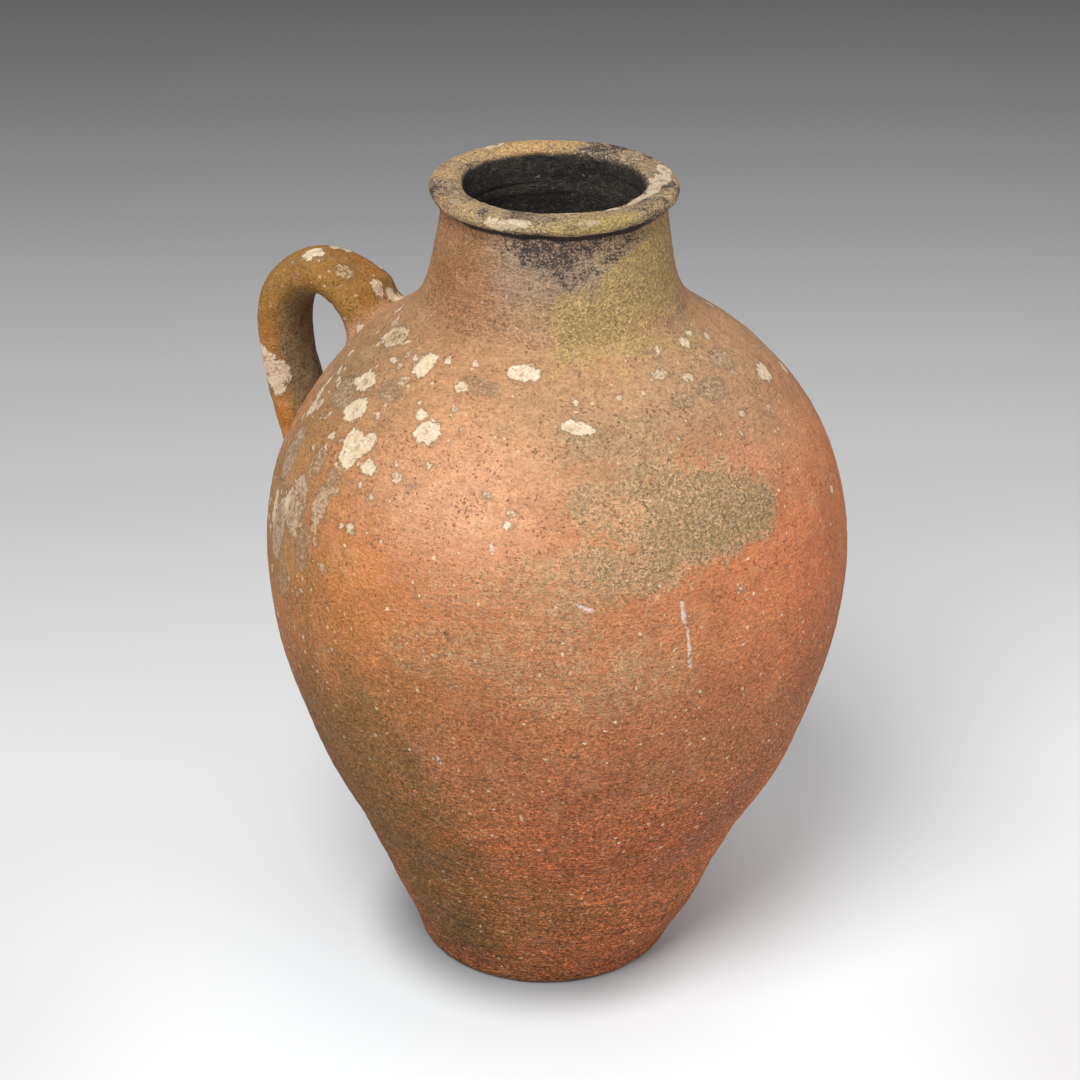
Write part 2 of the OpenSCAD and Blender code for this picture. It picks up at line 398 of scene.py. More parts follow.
SPREAD = 40.0  # millimetres inside the edge that make a field of 1


def azimuth_height(p):
    return np.degrees(np.arctan2(p[:, 1], p[:, 0])), p[:, 2]


def patch(p, a, z0, w, h, power=2.0, tilt=0.0):
    """How far inside a rounded patch on the wall a point lies: 0 on its edge, 1 at 40 mm inside. w and h are its half
    width round the jar and half height, in millimetres; tilt turns it, in degrees."""
    az, z = azimuth_height(p)
    r = np.hypot(p[:, 0], p[:, 1])
    x = ((az - a + 180) % 360 - 180) * math.pi / 180 * r
    slope = tangent(np.array([u_at(z0)]))[0]
    y = (z - z0) / max(slope[1], 0.35)
    k = math.radians(tilt)
    x, y = x * math.cos(k) + y * math.sin(k), y * math.cos(k) - x * math.sin(k)
    ax, ay = np.abs(x) / w, np.abs(y) / h
    q = np.maximum((ax ** power + ay ** power) ** (1 / power), 1e-4)
    gx, gy = (ax / q) ** (power - 1) / w, (ay / q) ** (power - 1) / h
    d = (1 - q) / np.maximum(np.hypot(gx, gy), 1e-5)
    far = np.abs((az - a + 180) % 360 - 180) > 100
    return np.where(far, -1.0, np.clip(np.minimum(d, min(w, h)) / SPREAD, -1, 1))


def warped(p, seed, amount=9.0):
    """Points pushed about, so that a patch's outline wanders."""
    w = np.stack([fbm(p, 64, 4, seed), fbm(p, 64, 4, seed + 7), fbm(p, 48, 4, seed + 13)], 1)
    return p + w * amount


def algae_field(p):
    """Grey-green bloom. Its fullness is kept apart, in algae_full."""
    q = warped(p, 301)
    parts = [patch(q, -36, 405, 84, 40, 1.7, -4), patch(q, -52, 372, 62, 30, tilt=14), patch(q, -68, 352, 64, 40, tilt=20), patch(q, -84, 322, 56, 34, tilt=10),
             patch(q, -58, 305, 90, 30), patch(q, -84, 360, 40, 22) - 0.1, patch(q, -46, 440, 52, 24),
             patch(q, 116, 392, 84, 44, 1.8), patch(q, 72, 430, 40, 22), patch(q, 152, 350, 60, 40)]
    return np.maximum.reduce(parts)


def algae_full(p):
    """How full the bloom stands, 0 to 1: dense on the right of the front, thinning out to the left and below."""
    az, z = azimuth_height(p)
    n = fbm(p, 40, 4, 311)
    full = smooth01((az + 74 + 8 * n) / 38) * smooth01((z - 350 + 10 * n) / 30)
    front = 0.27 + 0.73 * full
    front = front * (1 - 0.45 * smooth01((z - 418 + 6 * n) / 26))
    back = 0.35 + 0.55 * smooth01((44 + 8 * n - np.abs(az - 116)) / 22)
    return np.clip(np.where((az > 30) | (az < -150), back, front) + 0.12 * n, 0, 1)


def moss_field(p):
    """Brown-green stain low down."""
    q = warped(p, 321, 14.0)
    parts = [patch(q, -101, 205, 66, 100, tilt=10), patch(q, -92, 130, 74, 60), patch(q, -100, 55, 70, 62), patch(q, -70, 150, 60, 18, tilt=-6),
             patch(q, -118, 300, 40, 60) - 0.25, patch(q, -116, 190, 90, 120, tilt=8) - 0.12, patch(q, -84, 90, 110, 80) - 0.2, patch(q, -27, 150, 20, 34, tilt=-38) - 0.1, patch(q, -136, 130, 60, 110), patch(q, 112, 150, 70, 90),
             patch(q, 60, 70, 50, 50), patch(q, 160, 210, 60, 70) - 0.2]
    return np.clip(np.maximum.reduce(parts), -1, 1)


def olive_field(p):
    """Ochre-green growth on the neck."""
    q = warped(p, 331, 5.0)
    parts = [patch(q, -9, 524, 56, 42, 3.2), patch(q, -40, 504, 40, 30, 2.6), patch(q, -38, 486, 50, 18), patch(q, -8, 480, 40, 16, tilt=-10) - 0.1,
             patch(q, 62, 505, 36, 28, 2.4), patch(q, 128, 515, 30, 24, 2.4)]
    return np.maximum.reduce(parts)


def crust_field(p):
    """Dark speckled crust, 0 to 1."""
    az, z = azimuth_height(p)
    n, n2 = fbm(p, 30, 4, 81), fbm(p, 16, 4, 83)
    near = lambda a, w: np.exp(-(turn_gap(az, a) / w) ** 2)
    # a ragged belt under the lip that hangs down to the front
    low = 541 - 20 * near(-52, 15) - 9 * near(-78, 12) - 5 * near(-30, 12) + 5 * n + 4 * n2
    belt = smooth01((z - low) / 9) * np.clip(1.05 * near(-62, 40) + 0.6 * near(-20, 34), 0, 1)
    c = 0.88 * belt
    c = np.maximum(c, 0.30 * near(-62, 26) * smooth01((z - 498) / 20))
    c = np.maximum(c, 0.30 * near(-20, 36) * smooth01((z - 476) / 22))
    c = np.maximum(c, 0.42 * near(6, 13) * np.exp(-((z - 490) / 14) ** 2))
    low2 = 536 - 14 * near(108, 18) - 10 * near(60, 12) + 6 * n + 4 * n2
    c = np.maximum(c, 0.85 * near(96, 52) * smooth01((z - low2) / 8))
    c = np.maximum(c, 0.20 * smooth01((z - 430) / 40))
    c = np.maximum(c, 0.60 * near(-136, 22) * np.exp(-((z - 365) / 90) ** 2))
    c = np.maximum(c, 0.30 * near(-132, 22) * np.exp(-((z - 290) / 50) ** 2))
    c = np.maximum(c, 0.30 * near(-18, 12) * np.exp(-((z - 165) / 32) ** 2))
    c = np.maximum(c, 0.22 * near(-146, 20) * np.exp(-((z - 440) / 40) ** 2))
    c = np.maximum(c, 0.10 + 0.06 * n)
    return np.clip(c * (1 + 0.30 * n), 0, 1)


def shade_and_stain_field(p):
    """Black band in the groove under the lip, painted shade and stain, 0 to 1."""
    az, z = azimuth_height(p)
    n = fbm(p, 14, 3, 91)
    front = np.exp(-(turn_gap(az, -62) / 56) ** 2) + 0.7 * np.exp(-(turn_gap(az, 110) / 50) ** 2)
    return np.clip(np.clip(front, 0.15, 1) * 0.3 * smooth01((z - 546 + 1.6 * n) / 4), 0, 1)


# ------------------------------------------------------------------ materials
class Nodes:
    """Short names for building a material."""

    def __init__(self, name):
        self.mat = bpy.data.materials.new(name)
        self.mat.use_nodes = True
        self.t = self.mat.node_tree
        self.t.nodes.clear()

    def new(self, kind, **props):
        n = self.t.nodes.new(kind)
        for k, v in props.items():
            setattr(n, k, v)
        return n

    def put(self, sock, value):
        if isinstance(value, bpy.types.NodeSocket):
            self.t.links.new(value, sock)
        elif value is not None:
            sock.default_value = value

    def math(self, op, a, b=None, c=None, clamp=False):
        n = self.new("ShaderNodeMath", operation=op, use_clamp=clamp)
        for s, v in zip(n.inputs, (a, b, c)):
            self.put(s, v)
        return n.outputs[0]

    def vec(self, op, a, b=None):
        n = self.new("ShaderNodeVectorMath", operation=op)
        self.put(n.inputs[0], a)
        self.put(n.inputs[1], b)
        return n.outputs[0]

    def attr(self, name, colour=False):
        n = self.new("ShaderNodeAttribute", attribute_name=name)
        return n.outputs["Color"] if colour else n.outputs["Fac"]

    def noise(self, vec, scale, detail=3.0, rough=0.5, warp=0.0, colour=False):
        n = self.new("ShaderNodeTexNoise")
        self.put(n.inputs["Vector"], vec)
        n.inputs["Scale"].default_value = scale
        n.inputs["Detail"].default_value = detail
        n.inputs["Roughness"].default_value = rough
        n.inputs["Distortion"].default_value = warp
        return n.outputs["Color"] if colour else n.outputs["Fac"]

    def cells(self, vec, scale, spread=1.0):
        n = self.new("ShaderNodeTexVoronoi", feature="F1")
        self.put(n.inputs["Vector"], vec)
        n.inputs["Scale"].default_value = scale
        n.inputs["Randomness"].default_value = spread
        return n.outputs["Distance"], n.outputs["Color"]

    def remap(self, value, a, b, c=0.0, d=1.0, smooth=False):
        n = self.new("ShaderNodeMapRange", clamp=True)
        n.interpolation_type = "SMOOTHSTEP" if smooth else "LINEAR"
        self.put(n.inputs["Value"], value)
        for k, v in (("From Min", a), ("From Max", b), ("To Min", c), ("To Max", d)):
            self.put(n.inputs[k], v)
        return n.outputs["Result"]

    def mix(self, fac, a, b, blend="MIX"):
        n = self.new("ShaderNodeMix", data_type="RGBA", blend_type=blend, clamp_factor=True)
        self.put(n.inputs[0], fac)
        for s, v in ((n.inputs[6], a), (n.inputs[7], b)):
            if isinstance(v, bpy.types.NodeSocket):
                self.t.links.new(v, s)
            else:
                s.default_value = (*v, 1.0)
        return n.outputs[2]

    def split(self, vec):
        n = self.new("ShaderNodeSeparateXYZ")
        self.put(n.inputs[0], vec)
        return n.outputs

    def scale_axes(self, vec, x, y, z):
        return self.vec("MULTIPLY", vec, (x, y, z))


def fired_clay(name, flow=1.0, grit=1.0, pits=1.0, grain=1.0):
    """Gritty unglazed terracotta with lichen, algae and crust. The mesh carries the broad colour and where each growth is.
    flow draws the grain out along the turning direction."""
    m = Nodes(name)
    pos = m.new("ShaderNodeTexCoord").outputs["Object"]
    tone_c = m.attr("tone", True)
    lich, tint, firm = m.attr("lich"), m.attr("tint"), m.attr("firm")
    algae, full, moss, olive = m.attr("algae"), m.attr("full"), m.attr("moss"), m.attr("olive")
    crust, shade_and_stain, soot = m.attr("crust"), m.attr("shade_and_stain"), m.attr("soot")
    off = lambda x, y, z: m.vec("ADD", pos, (x, y, z))
    mul = lambda x, y: m.math("MULTIPLY", x, y)
    centred = lambda x, k: m.math("MULTIPLY", m.math("SUBTRACT", x, 0.5), k)

    n_big = m.noise(pos, 26, 5, 0.6)
    n_mid = m.noise(pos, 120, 5, 0.62)
    n_fine = m.noise(m.scale_axes(pos, 520 - 170 * flow, 520 - 170 * flow, 620), 1.0, 3, 0.65)
    n_grain = m.noise(off(0.31, 0.77, 0.05), 900, 2, 0.5)
    n_streak = m.noise(m.scale_axes(pos, 14, 14, 230), 1.0, 4, 0.6)
    height = m.split(pos)[2]
    # the skin is rougher low down
    coarse = m.remap(height, 0.09, 0.41, 1.22 * grain, 0.28 * grain, True)
    n_drag = m.noise(m.scale_axes(pos, 46, 46, 520), 1.0, 4, 0.68)
    low = mul(m.remap(height, 0.04, 0.26, 1.0, 0.12, True), flow)

    # clay body: the broad colour broken up at every scale
    v = m.remap(n_big, 0.3, 0.7, 0.93, 1.17)
    v = mul(v, m.remap(n_mid, 0.3, 0.7, 0.86, 1.14))
    v = mul(v, m.math("MAXIMUM", 0.35, m.math("ADD", 1.0, mul(coarse, centred(n_fine, 4.3)))))
    v = mul(v, m.math("MAXIMUM", 0.35, m.math("ADD", 1.0, mul(coarse, centred(n_grain, 2.9)))))
    v = mul(v, m.math("ADD", 1.0, mul(low, centred(n_drag, 2.9))))
    v = mul(v, m.remap(n_streak, 0.3, 0.7, 1 - 0.06 * flow, 1 + 0.06 * flow))
    bright = m.new("ShaderNodeCombineXYZ")
    for s in bright.inputs:
        m.put(s, v)
    col = m.mix(1.0, tone_c, bright.outputs[0], "MULTIPLY")
    # each grain leans a little to ochre or to red
    hue = m.noise(off(0.21, 0.83, 0.35), 420, 4, 0.75)
    col = m.mix(m.remap(hue, 0.52, 0.64, 0.0, 0.42), col, m.mix(0.5, (0.60, 0.36, 0.18), tone_c))
    col = m.mix(m.remap(hue, 0.48, 0.36, 0.0, 0.42), col, m.mix(0.45, (0.40, 0.125, 0.055), tone_c))
    # paler dusty bloom and redder worn places
    dusty = m.remap(m.noise(pos, 60, 6, 0.7, 0.6), 0.52, 0.70, 0.0, 0.34, True)
    col = m.mix(dusty, col, m.mix(0.6, tone_c, (0.62, 0.42, 0.27)))
    worn = m.remap(m.noise(off(3.1, 1.7, 0.4), 45, 6, 0.72, 0.8), 0.54, 0.72, 0.0, 0.34, True)
    col = m.mix(worn, col, m.mix(0.5, tone_c, (0.42, 0.14, 0.062)))

    # fine pale grit, a few bigger cream grains, and small dark pits
    g1 = m.noise(off(0.37, 0.11, 0.23), 520, 3, 0.65)
    grit_m = mul(m.remap(g1, 0.655, 0.69), m.math("MULTIPLY", coarse, 1.1 * grit, clamp=True))
    d1b, c1b = m.cells(m.vec("ADD", pos, m.vec("MULTIPLY", m.noise(pos, 620, 3, 0.6, colour=True), (0.0042, 0.0042, 0.0042))), 175)
    r1b = m.split(c1b)
    grit_b = mul(m.remap(m.math("SUBTRACT", m.remap(r1b[0], 0.50, 1.0, 0.04, 0.25), d1b), 0.0, 0.03), m.remap(height, 0.2, 0.45, 1.0 * grit, 0.6 * grit, True))
    grit_m = m.math("MAXIMUM", grit_m, grit_b)
    col = m.mix(grit_m, col, m.mix(r1b[2], (0.80, 0.56, 0.32), (0.92, 0.78, 0.55)))
    p1 = m.noise(off(0.13, 0.57, 0.91), 470, 3, 0.65)
    p2 = m.noise(off(0.63, 0.27, 0.51), 60, 3, 0.6)
    pit = mul(m.remap(m.math("ADD", p1, centred(p2, 0.25)), 0.375, 0.325), pits)
    col = m.mix(mul(pit, 0.62), col, (0.10, 0.052, 0.028))

    flecks = m.noise(off(0.7, 0.4, 0.1), 420, 4, 0.75)
    flecks2 = m.noise(off(0.1, 0.9, 0.6), 900, 2, 0.6)
    speck = m.math("ADD", mul(flecks, 0.50), mul(flecks2, 0.50))
    rag = m.math("ADD", centred(m.noise(pos, 36, 7, 0.68, 0.4), 1.1), centred(m.noise(off(0.4, 0.7, 0.2), 130, 5, 0.7), 1.1))

    blotch = m.noise(off(0.8, 0.2, 0.5), 175, 6, 0.72)

    def growth(field, much, crisp, film, light, dark, wash, high, cover, sand):
        """A growth's stain in blotches, then its flecks. much is how full it stands, crisp how fast it begins."""
        nonlocal col
        there = m.remap(m.math("ADD", field, rag), 0.0, crisp)
        dens = mul(there, much)
        stain = m.remap(m.math("ADD", blotch, mul(dens, 0.36)), 0.575, 0.675)
        col = m.mix(mul(mul(stain, m.remap(dens, 0.0, 1.0, 0.26, 1.0)), wash), col, m.mix(1.0, film, bright.outputs[0], "MULTIPLY"))
        f = m.remap(m.math("SUBTRACT", speck, m.remap(dens, 0.0, 1.0, 0.570, high)), 0.0, 0.03)
        f = mul(f, m.remap(dens, 0.0, 0.12))
        col = m.mix(mul(f, cover), col, m.mix(m.remap(n_mid, 0.35, 0.65), light, dark))
        pale = mul(mul(m.remap(flecks2, 0.58, 0.66), there), sand)
        col = m.mix(pale, col, (0.66, 0.50, 0.31))

    growth(moss, m.remap(moss, -0.1, 0.9, 0.15, 0.95), 1.7, m.mix(n_big, (0.225, 0.128, 0.026), (0.145, 0.100, 0.018)),
           (0.120, 0.105, 0.020), (0.055, 0.055, 0.014), 0.58, 0.480, 0.66, 0.20)
    growth(algae, full, 0.4, m.mix(n_mid, (0.45, 0.305, 0.155), (0.60, 0.415, 0.235)), (0.21, 0.155, 0.066), (0.070, 0.060, 0.030), 0.70, 0.468, 0.82, 0.60)
    growth(olive, m.remap(olive, 0.0, 0.5, 0.70, 1.0), 0.45, m.mix(m.noise(pos, 90, 4, 0.7), (0.40, 0.255, 0.090), (0.56, 0.400, 0.165)),
           (0.175, 0.120, 0.042), (0.062, 0.050, 0.026), 0.84, 0.505, 0.62, 0.40)

    # crust: a greyer skin and dark speckles, thick where the mesh says so
    col = m.mix(m.remap(crust, 0.30, 0.90, 0.0, 0.50, True), col, m.mix(1.0, (0.335, 0.255, 0.190), bright.outputs[0], "MULTIPLY"))
    sp = m.math("ADD", mul(m.noise(pos, 680, 4, 0.75), 0.68), mul(m.noise(off(0.5, 0.2, 0.9), 150, 4, 0.7), 0.32))
    crust_m = m.remap(m.math("SUBTRACT", sp, m.remap(crust, 0.0, 1.0, 0.70, 0.47)), 0.0, 0.036)
    crust_m = mul(crust_m, m.remap(crust, 0.02, 0.35, 0.0, 0.93))
    col = m.mix(crust_m, col, m.mix(n_mid, (0.020, 0.021, 0.026), (0.070, 0.062, 0.060)))

    # lichen: pale crusts with ragged edges, small gaps and a darker hem
    lw = centred(m.noise(pos, 230, 6, 0.72, 0.5), 13.0)
    lw2 = centred(m.noise(pos, 75, 3, 0.6), 12.0)
    ld = m.math("ADD", m.math("ADD", lich, lw), lw2)
    holes = m.remap(m.noise(off(0.9, 0.1, 0.3), 520, 5, 0.75), m.remap(firm, 0.0, 1.0, 0.44, 0.20), m.remap(firm, 0.0, 1.0, 0.60, 0.34))
    lich_m = mul(m.remap(ld, -0.2, 0.9), holes)
    lcol = m.mix(tint, (0.78, 0.62, 0.40), (0.80, 0.60, 0.45))
    lcol = m.mix(m.remap(n_mid, 0.40, 0.62, 0.0, 0.6), lcol, (0.88, 0.77, 0.58))
    lcol = m.mix(m.remap(m.noise(off(0.3, 0.3, 0.8), 190, 4, 0.7), 0.50, 0.66, 0.0, 0.55), lcol, (0.54, 0.37, 0.19))
    lcol = m.mix(m.remap(n_fine, 0.50, 0.66, 0.0, 0.50), lcol, (0.56, 0.42, 0.26))
    lcol = m.mix(m.remap(firm, 0.55, 0.20, 0.0, 0.85), lcol, m.mix(m.remap(n_mid, 0.4, 0.6), (0.50, 0.335, 0.20), (0.66, 0.47, 0.31)))
    core = mul(m.remap(ld, 3.0, 6.5), m.remap(m.noise(off(0.6, 0.6, 0.1), 150, 4, 0.7), 0.50, 0.60))
    lcol = m.mix(mul(core, 0.75), lcol, m.mix(0.5, tone_c, (0.34, 0.22, 0.11)))
    col = m.mix(mul(lich_m, m.remap(firm, 0.2, 1.0, 0.62, 0.96)), col, lcol)
    hem = mul(m.remap(ld, -2.4, -0.2), m.math("SUBTRACT", 1.0, lich_m, clamp=True))
    col = m.mix(mul(hem, 0.26), col, (0.17, 0.11, 0.06))

    mark = m.attr("mark")
    col = m.mix(mul(m.remap(mark, 0.30, 0.70), m.remap(n_fine, 0.36, 0.50)), col, (0.72, 0.62, 0.58))

    # black band of painted shade and stain: under the lip, in the crack and inside the handle's loop; and the sooty
    # inside
    col = m.mix(m.remap(m.math("ADD", shade_and_stain, centred(n_mid, 0.8)), 0.25, 0.8, 0.0, 0.93), col, (0.020, 0.019, 0.017))
    inner_c = m.mix(m.remap(n_big, 0.35, 0.7), (0.026, 0.025, 0.023), (0.060, 0.052, 0.042))
    inner_c = m.mix(m.remap(m.noise(pos, 260, 5, 0.75), 0.50, 0.70, 0.0, 0.75), inner_c, (0.135, 0.115, 0.088))
    inner_c = m.mix(m.remap(n_fine, 0.56, 0.68, 0.0, 0.6), inner_c, (0.20, 0.18, 0.14))
    inner_c = m.mix(m.remap(n_streak, 0.52, 0.62, 0.0, 0.6), inner_c, (0.018, 0.017, 0.016))
    col = m.mix(soot, col, inner_c)
    col = m.mix(mul(mul(grit_b, m.math("GREATER_THAN", r1b[1], 0.75)), m.math("GREATER_THAN", soot, 0.5)), col, (0.55, 0.50, 0.42))

    rough = m.math("ADD", m.remap(n_mid, 0.2, 0.8, 0.80, 0.97), mul(m.math("ADD", lich_m, crust_m), 0.05), clamp=True)

    # relief, in metres
    rough_in = mul(coarse, 1.35)
    h = mul(centred(n_fine, 0.0034), rough_in)
    h = m.math("ADD", h, mul(centred(n_grain, 0.0014), rough_in))
    h = m.math("ADD", h, mul(centred(n_drag, 0.0072), low))
    h = m.math("ADD", h, centred(n_mid, 0.0010))
    h = m.math("ADD", h, centred(n_streak, 0.00026 * flow))
    h = m.math("ADD", h, mul(grit_m, 0.00034))
    h = m.math("SUBTRACT", h, mul(pit, 0.00060))
    h = m.math("ADD", h, mul(lich_m, 0.00045))
    h = m.math("ADD", h, mul(crust_m, 0.00028))
    bump = m.new("ShaderNodeBump")
    bump.inputs["Strength"].default_value = 1.0
    bump.inputs["Distance"].default_value = 1.0
    m.put(bump.inputs["Height"], h)

    bsdf = m.new("ShaderNodeBsdfPrincipled")
    m.put(bsdf.inputs["Base Color"], col)
    m.put(bsdf.inputs["Roughness"], rough)
    bsdf.inputs["Specular IOR Level"].default_value = 0.28
    m.put(bsdf.inputs["Normal"], bump.outputs[0])
    out = m.new("ShaderNodeOutputMaterial")
    m.t.links.new(bsdf.outputs[0], out.inputs[0])
    return m.mat


clay = fired_clay("fired_clay")
clay_neck = fired_clay("fired_clay_neck", flow=0.6, grit=0.5, grain=1.75)
clay_rim = fired_clay("fired_clay_rim", flow=0.0, grit=0.6, pits=1.2, grain=2.4)
clay_handle = fired_clay("fired_clay_handle", flow=0.0, grit=0.7, grain=1.25)

# ------------------------------------------------------------------ meshes
MM = 0.001
N_AZ = 720
AZ = np.linspace(-math.pi, math.pi, N_AZ, endpoint=False)


def revolve(rz):
    """Points of a profile turned round Z: rows by azimuths by 3, in millimetres."""
    rz = np.asarray(rz, float)
    return np.stack([rz[:, :1] * np.cos(AZ)[None], rz[:, :1] * np.sin(AZ)[None], np.repeat(rz[:, 1:], N_AZ, 1)], -1)


def grid_normals(g):
    """Normals of a grid of points that wraps round in its second index."""
    du = np.empty_like(g)
    du[1:-1] = g[2:] - g[:-2]
    du[0], du[-1] = g[1] - g[0], g[-1] - g[-2]
    dv = np.roll(g, -1, 1) - np.roll(g, 1, 1)
    n = np.cross(dv, du)
    return n / np.maximum(np.linalg.norm(n, axis=-1, keepdims=True), 1e-12)


def build(name, verts, quads, corner_normals, corner_uv, fields, material, node, tris=None, tri_normals=None, tri_uv=None):
    """A piece from arrays in millimetres. fields holds one value or colour per vertex."""
    polys = len(quads) + (0 if tris is None else len(tris))
    loops = quads.reshape(-1)
    normals, uv = corner_normals.reshape(-1, 3), corner_uv.reshape(-1, 2)
    sizes = np.full(len(quads), 4)
    if tris is not None:
        loops = np.concatenate([loops, tris.reshape(-1)])
        normals = np.concatenate([normals, tri_normals.reshape(-1, 3)])
        uv = np.concatenate([uv, tri_uv.reshape(-1, 2)])
        sizes = np.concatenate([sizes, np.full(len(tris), 3)])
    me = bpy.data.meshes.new(name)
    me.vertices.add(len(verts))
    me.vertices.foreach_set("co", (verts * MM).astype(np.float32).reshape(-1))
    me.loops.add(len(loops))
    me.loops.foreach_set("vertex_index", loops.astype(np.int32))
    me.polygons.add(polys)
    me.polygons.foreach_set("loop_start", np.concatenate([[0], np.cumsum(sizes)[:-1]]).astype(np.int32))
    me.update(calc_edges=True)
    me.polygons.foreach_set("use_smooth", np.ones(polys, bool))
    layer = me.uv_layers.new(name="OFBake")
    layer.data.foreach_set("uv", uv.astype(np.float32).reshape(-1))
    me.validate()
    me.normals_split_custom_set(normals.astype(np.float32).tolist())
    for key, value in fields.items():
        if value.ndim == 2:
            a = me.attributes.new(key, "FLOAT_COLOR", "POINT")
            a.data.foreach_set("color", np.concatenate([value, np.ones((len(value), 1))], 1).astype(np.float32).reshape(-1))
        else:
            a = me.attributes.new(key, "FLOAT", "POINT")
            a.data.foreach_set("value", value.astype(np.float32))
    me.materials.append(material)
    ob = bpy.data.objects.new(name, me)
    bpy.context.scene.collection.objects.link(ob)
    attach(ob, "root")
    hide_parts(node)
    return ob


BAND_OUT = [(0.004, 0.286), (0.292, 0.574), (0.580, 0.862)]
BAND_IN = (0.870, 0.950)
BAND_TOP, BAND_LOW = (0.955, 0.974), (0.979, 0.998)


def ring_uv(rows_outer, rows_in):
    """Corner UVs of the quads of a closed ring: outer face in three strips, then the top joint, the inside and the lower joint."""
    uv = np.zeros((rows_outer - 1 + 1 + rows_in - 1 + 1, N_AZ, 4, 2))
    j = np.arange(N_AZ)
    third = N_AZ // 3
    k = j // third
    lo = np.array([b[0] for b in BAND_OUT])[k]
    hi = np.array([b[1] for b in BAND_OUT])[k]
    ua, ub = 0.003 + 0.994 * (j - k * third) / third, 0.003 + 0.994 * (j - k * third + 1) / third
    for i in range(rows_outer - 1):
        va, vb = lo + (hi - lo) * i / (rows_outer - 1), lo + (hi - lo) * (i + 1) / (rows_outer - 1)
        uv[i] = np.stack([np.stack([ua, va], -1), np.stack([ub, va], -1), np.stack([ub, vb], -1), np.stack([ua, vb], -1)], 1)
    ua, ub = 0.003 + 0.994 * j / N_AZ, 0.003 + 0.994 * (j + 1) / N_AZ

    def strip(index, a, b):
        a, b = np.full(N_AZ, a), np.full(N_AZ, b)
        uv[index] = np.stack([np.stack([ua, a], -1), np.stack([ub, a], -1), np.stack([ub, b], -1), np.stack([ua, b], -1)], 1)

    strip(rows_outer - 1, *BAND_TOP)
    for i in range(rows_in - 1):
        a, b = BAND_IN
        strip(rows_outer + i, a + (b - a) * i / (rows_in - 1), a + (b - a) * (i + 1) / (rows_in - 1))
    strip(rows_outer + rows_in - 1, *BAND_LOW)
    return uv


def closed_ring(name, out_grid, out_normals, in_grid, fields, material, node):
    """A closed ring solid: out_grid's rows go up the outside, in_grid's rows go down the inside."""
    ro, ri = len(out_grid), len(in_grid)
    verts = np.concatenate([out_grid, in_grid]).reshape(-1, 3)
    rows = ro + ri
    j = np.arange(N_AZ)
    jn = (j + 1) % N_AZ
    quads = np.empty((rows, N_AZ, 4), np.int64)
    for i in range(rows):
        n = (i + 1) % rows
        quads[i] = np.stack([i * N_AZ + j, i * N_AZ + jn, n * N_AZ + jn, n * N_AZ + j], 1)
    nin = grid_normals(in_grid)
    nv = np.concatenate([out_normals, nin]).reshape(-1, 3)
    cn = nv[quads]
    for i in (ro - 1, rows - 1):  # the joint faces are flat
        q = verts[quads[i]]
        f = np.cross(q[:, 1] - q[:, 0], q[:, 3] - q[:, 0])
        f /= np.maximum(np.linalg.norm(f, axis=1)[:, None], 1e-12)
        cn[i] = f[:, None, :]
    return build(name, verts, quads.reshape(-1, 4), cn.reshape(-1, 4, 3), ring_uv(ro, ri).reshape(-1, 4, 2),
                 fields, material, node)


# thin pale scrapes: two ends as azimuth and height, half width in millimetres, strength
SCRAPES = [
    (-38.4, 354, -37.6, 330, 0.9, 1.0), (-37.6, 330, -37.2, 309, 0.8, 1.0), (-38.6, 352, -38.2, 341, 1.3, 0.8),
    (-58.5, 359, -56.2, 354, 0.9, 0.7), (-57.0, 357, -55.4, 355, 0.7, 0.8), (-75.5, 392, -74.9, 387, 0.9, 0.9),
    (-25.2, 356, -24.6, 349, 0.6, 0.7), (-24.0, 352, -23.8, 345, 0.5, 0.6), (-14.0, 400, -12.5, 401, 0.5, 0.6),
    (-86.0, 236, -85.6, 231, 1.1, 1.0), (96.0, 350, 97.0, 322, 0.9, 0.8), (40.0, 300, 43.0, 292, 0.8, 0.7),
]


def mark_field(p):
    out = np.zeros(len(p))
    for a0, z0, a1, z1, w, strong in SCRAPES:
        b0, b1 = wall_point(a0, z0), wall_point(a1, z1)
        near = np.nonzero(np.abs(p - (b0 + b1) / 2).max(axis=1) < np.linalg.norm(b1 - b0) / 2 + 10)[0]
        if not len(near):
            continue
        q = p[near] + 0.9 * np.stack([fbm(p[near], 9, 2, 341), fbm(p[near], 9, 2, 343), 0 * near], 1)
        t = np.clip(((q - b0) @ (b1 - b0)) / ((b1 - b0) @ (b1 - b0)), 0, 1)
        d = np.linalg.norm(q - b0 - t[:, None] * (b1 - b0), axis=1)
        out[near] = np.maximum(out[near], strong * smooth01(1.15 - 0.5 * d / w))
    return out


def wall_fields(p, inside):
    """What the material reads at each point. inside marks the points of the inner face."""
    d, tint, firm = lichen_fields(p)
    hide = lambda v, off: np.where(inside, off, v)
    return {"tone": tone(p), "lich": hide(d, -14.0), "tint": tint, "firm": firm, "algae": hide(algae_field(p), -1.0), "full": algae_full(p),
            "moss": hide(moss_field(p), -1.0), "olive": hide(olive_field(p), -1.0),
            "crust": hide(crust_field(p), 0.1), "shade_and_stain": hide(shade_and_stain_field(p), 0.0), "soot": inside.astype(float),
            "mark": hide(mark_field(p), 0.0)}


def thick(u):
    t = np.full(len(u), WALL_T)
    t = np.where(u <= CUT_FOOT, WALL_T + 3, t)
    mid = (u > CUT_FOOT) & (u <= CUT_LOWER)
    return np.where(mid, WALL_T + 3 * (CUT_LOWER - u) / (CUT_LOWER - CUT_FOOT), t)


def inner(u):
    t = tangent(u)
    way = np.stack([-t[:, 1], t[:, 0]], 1)
    way[u <= CUT_BASE] = (-1.0, 0.0)
    return outer(u) + thick(u)[:, None] * way


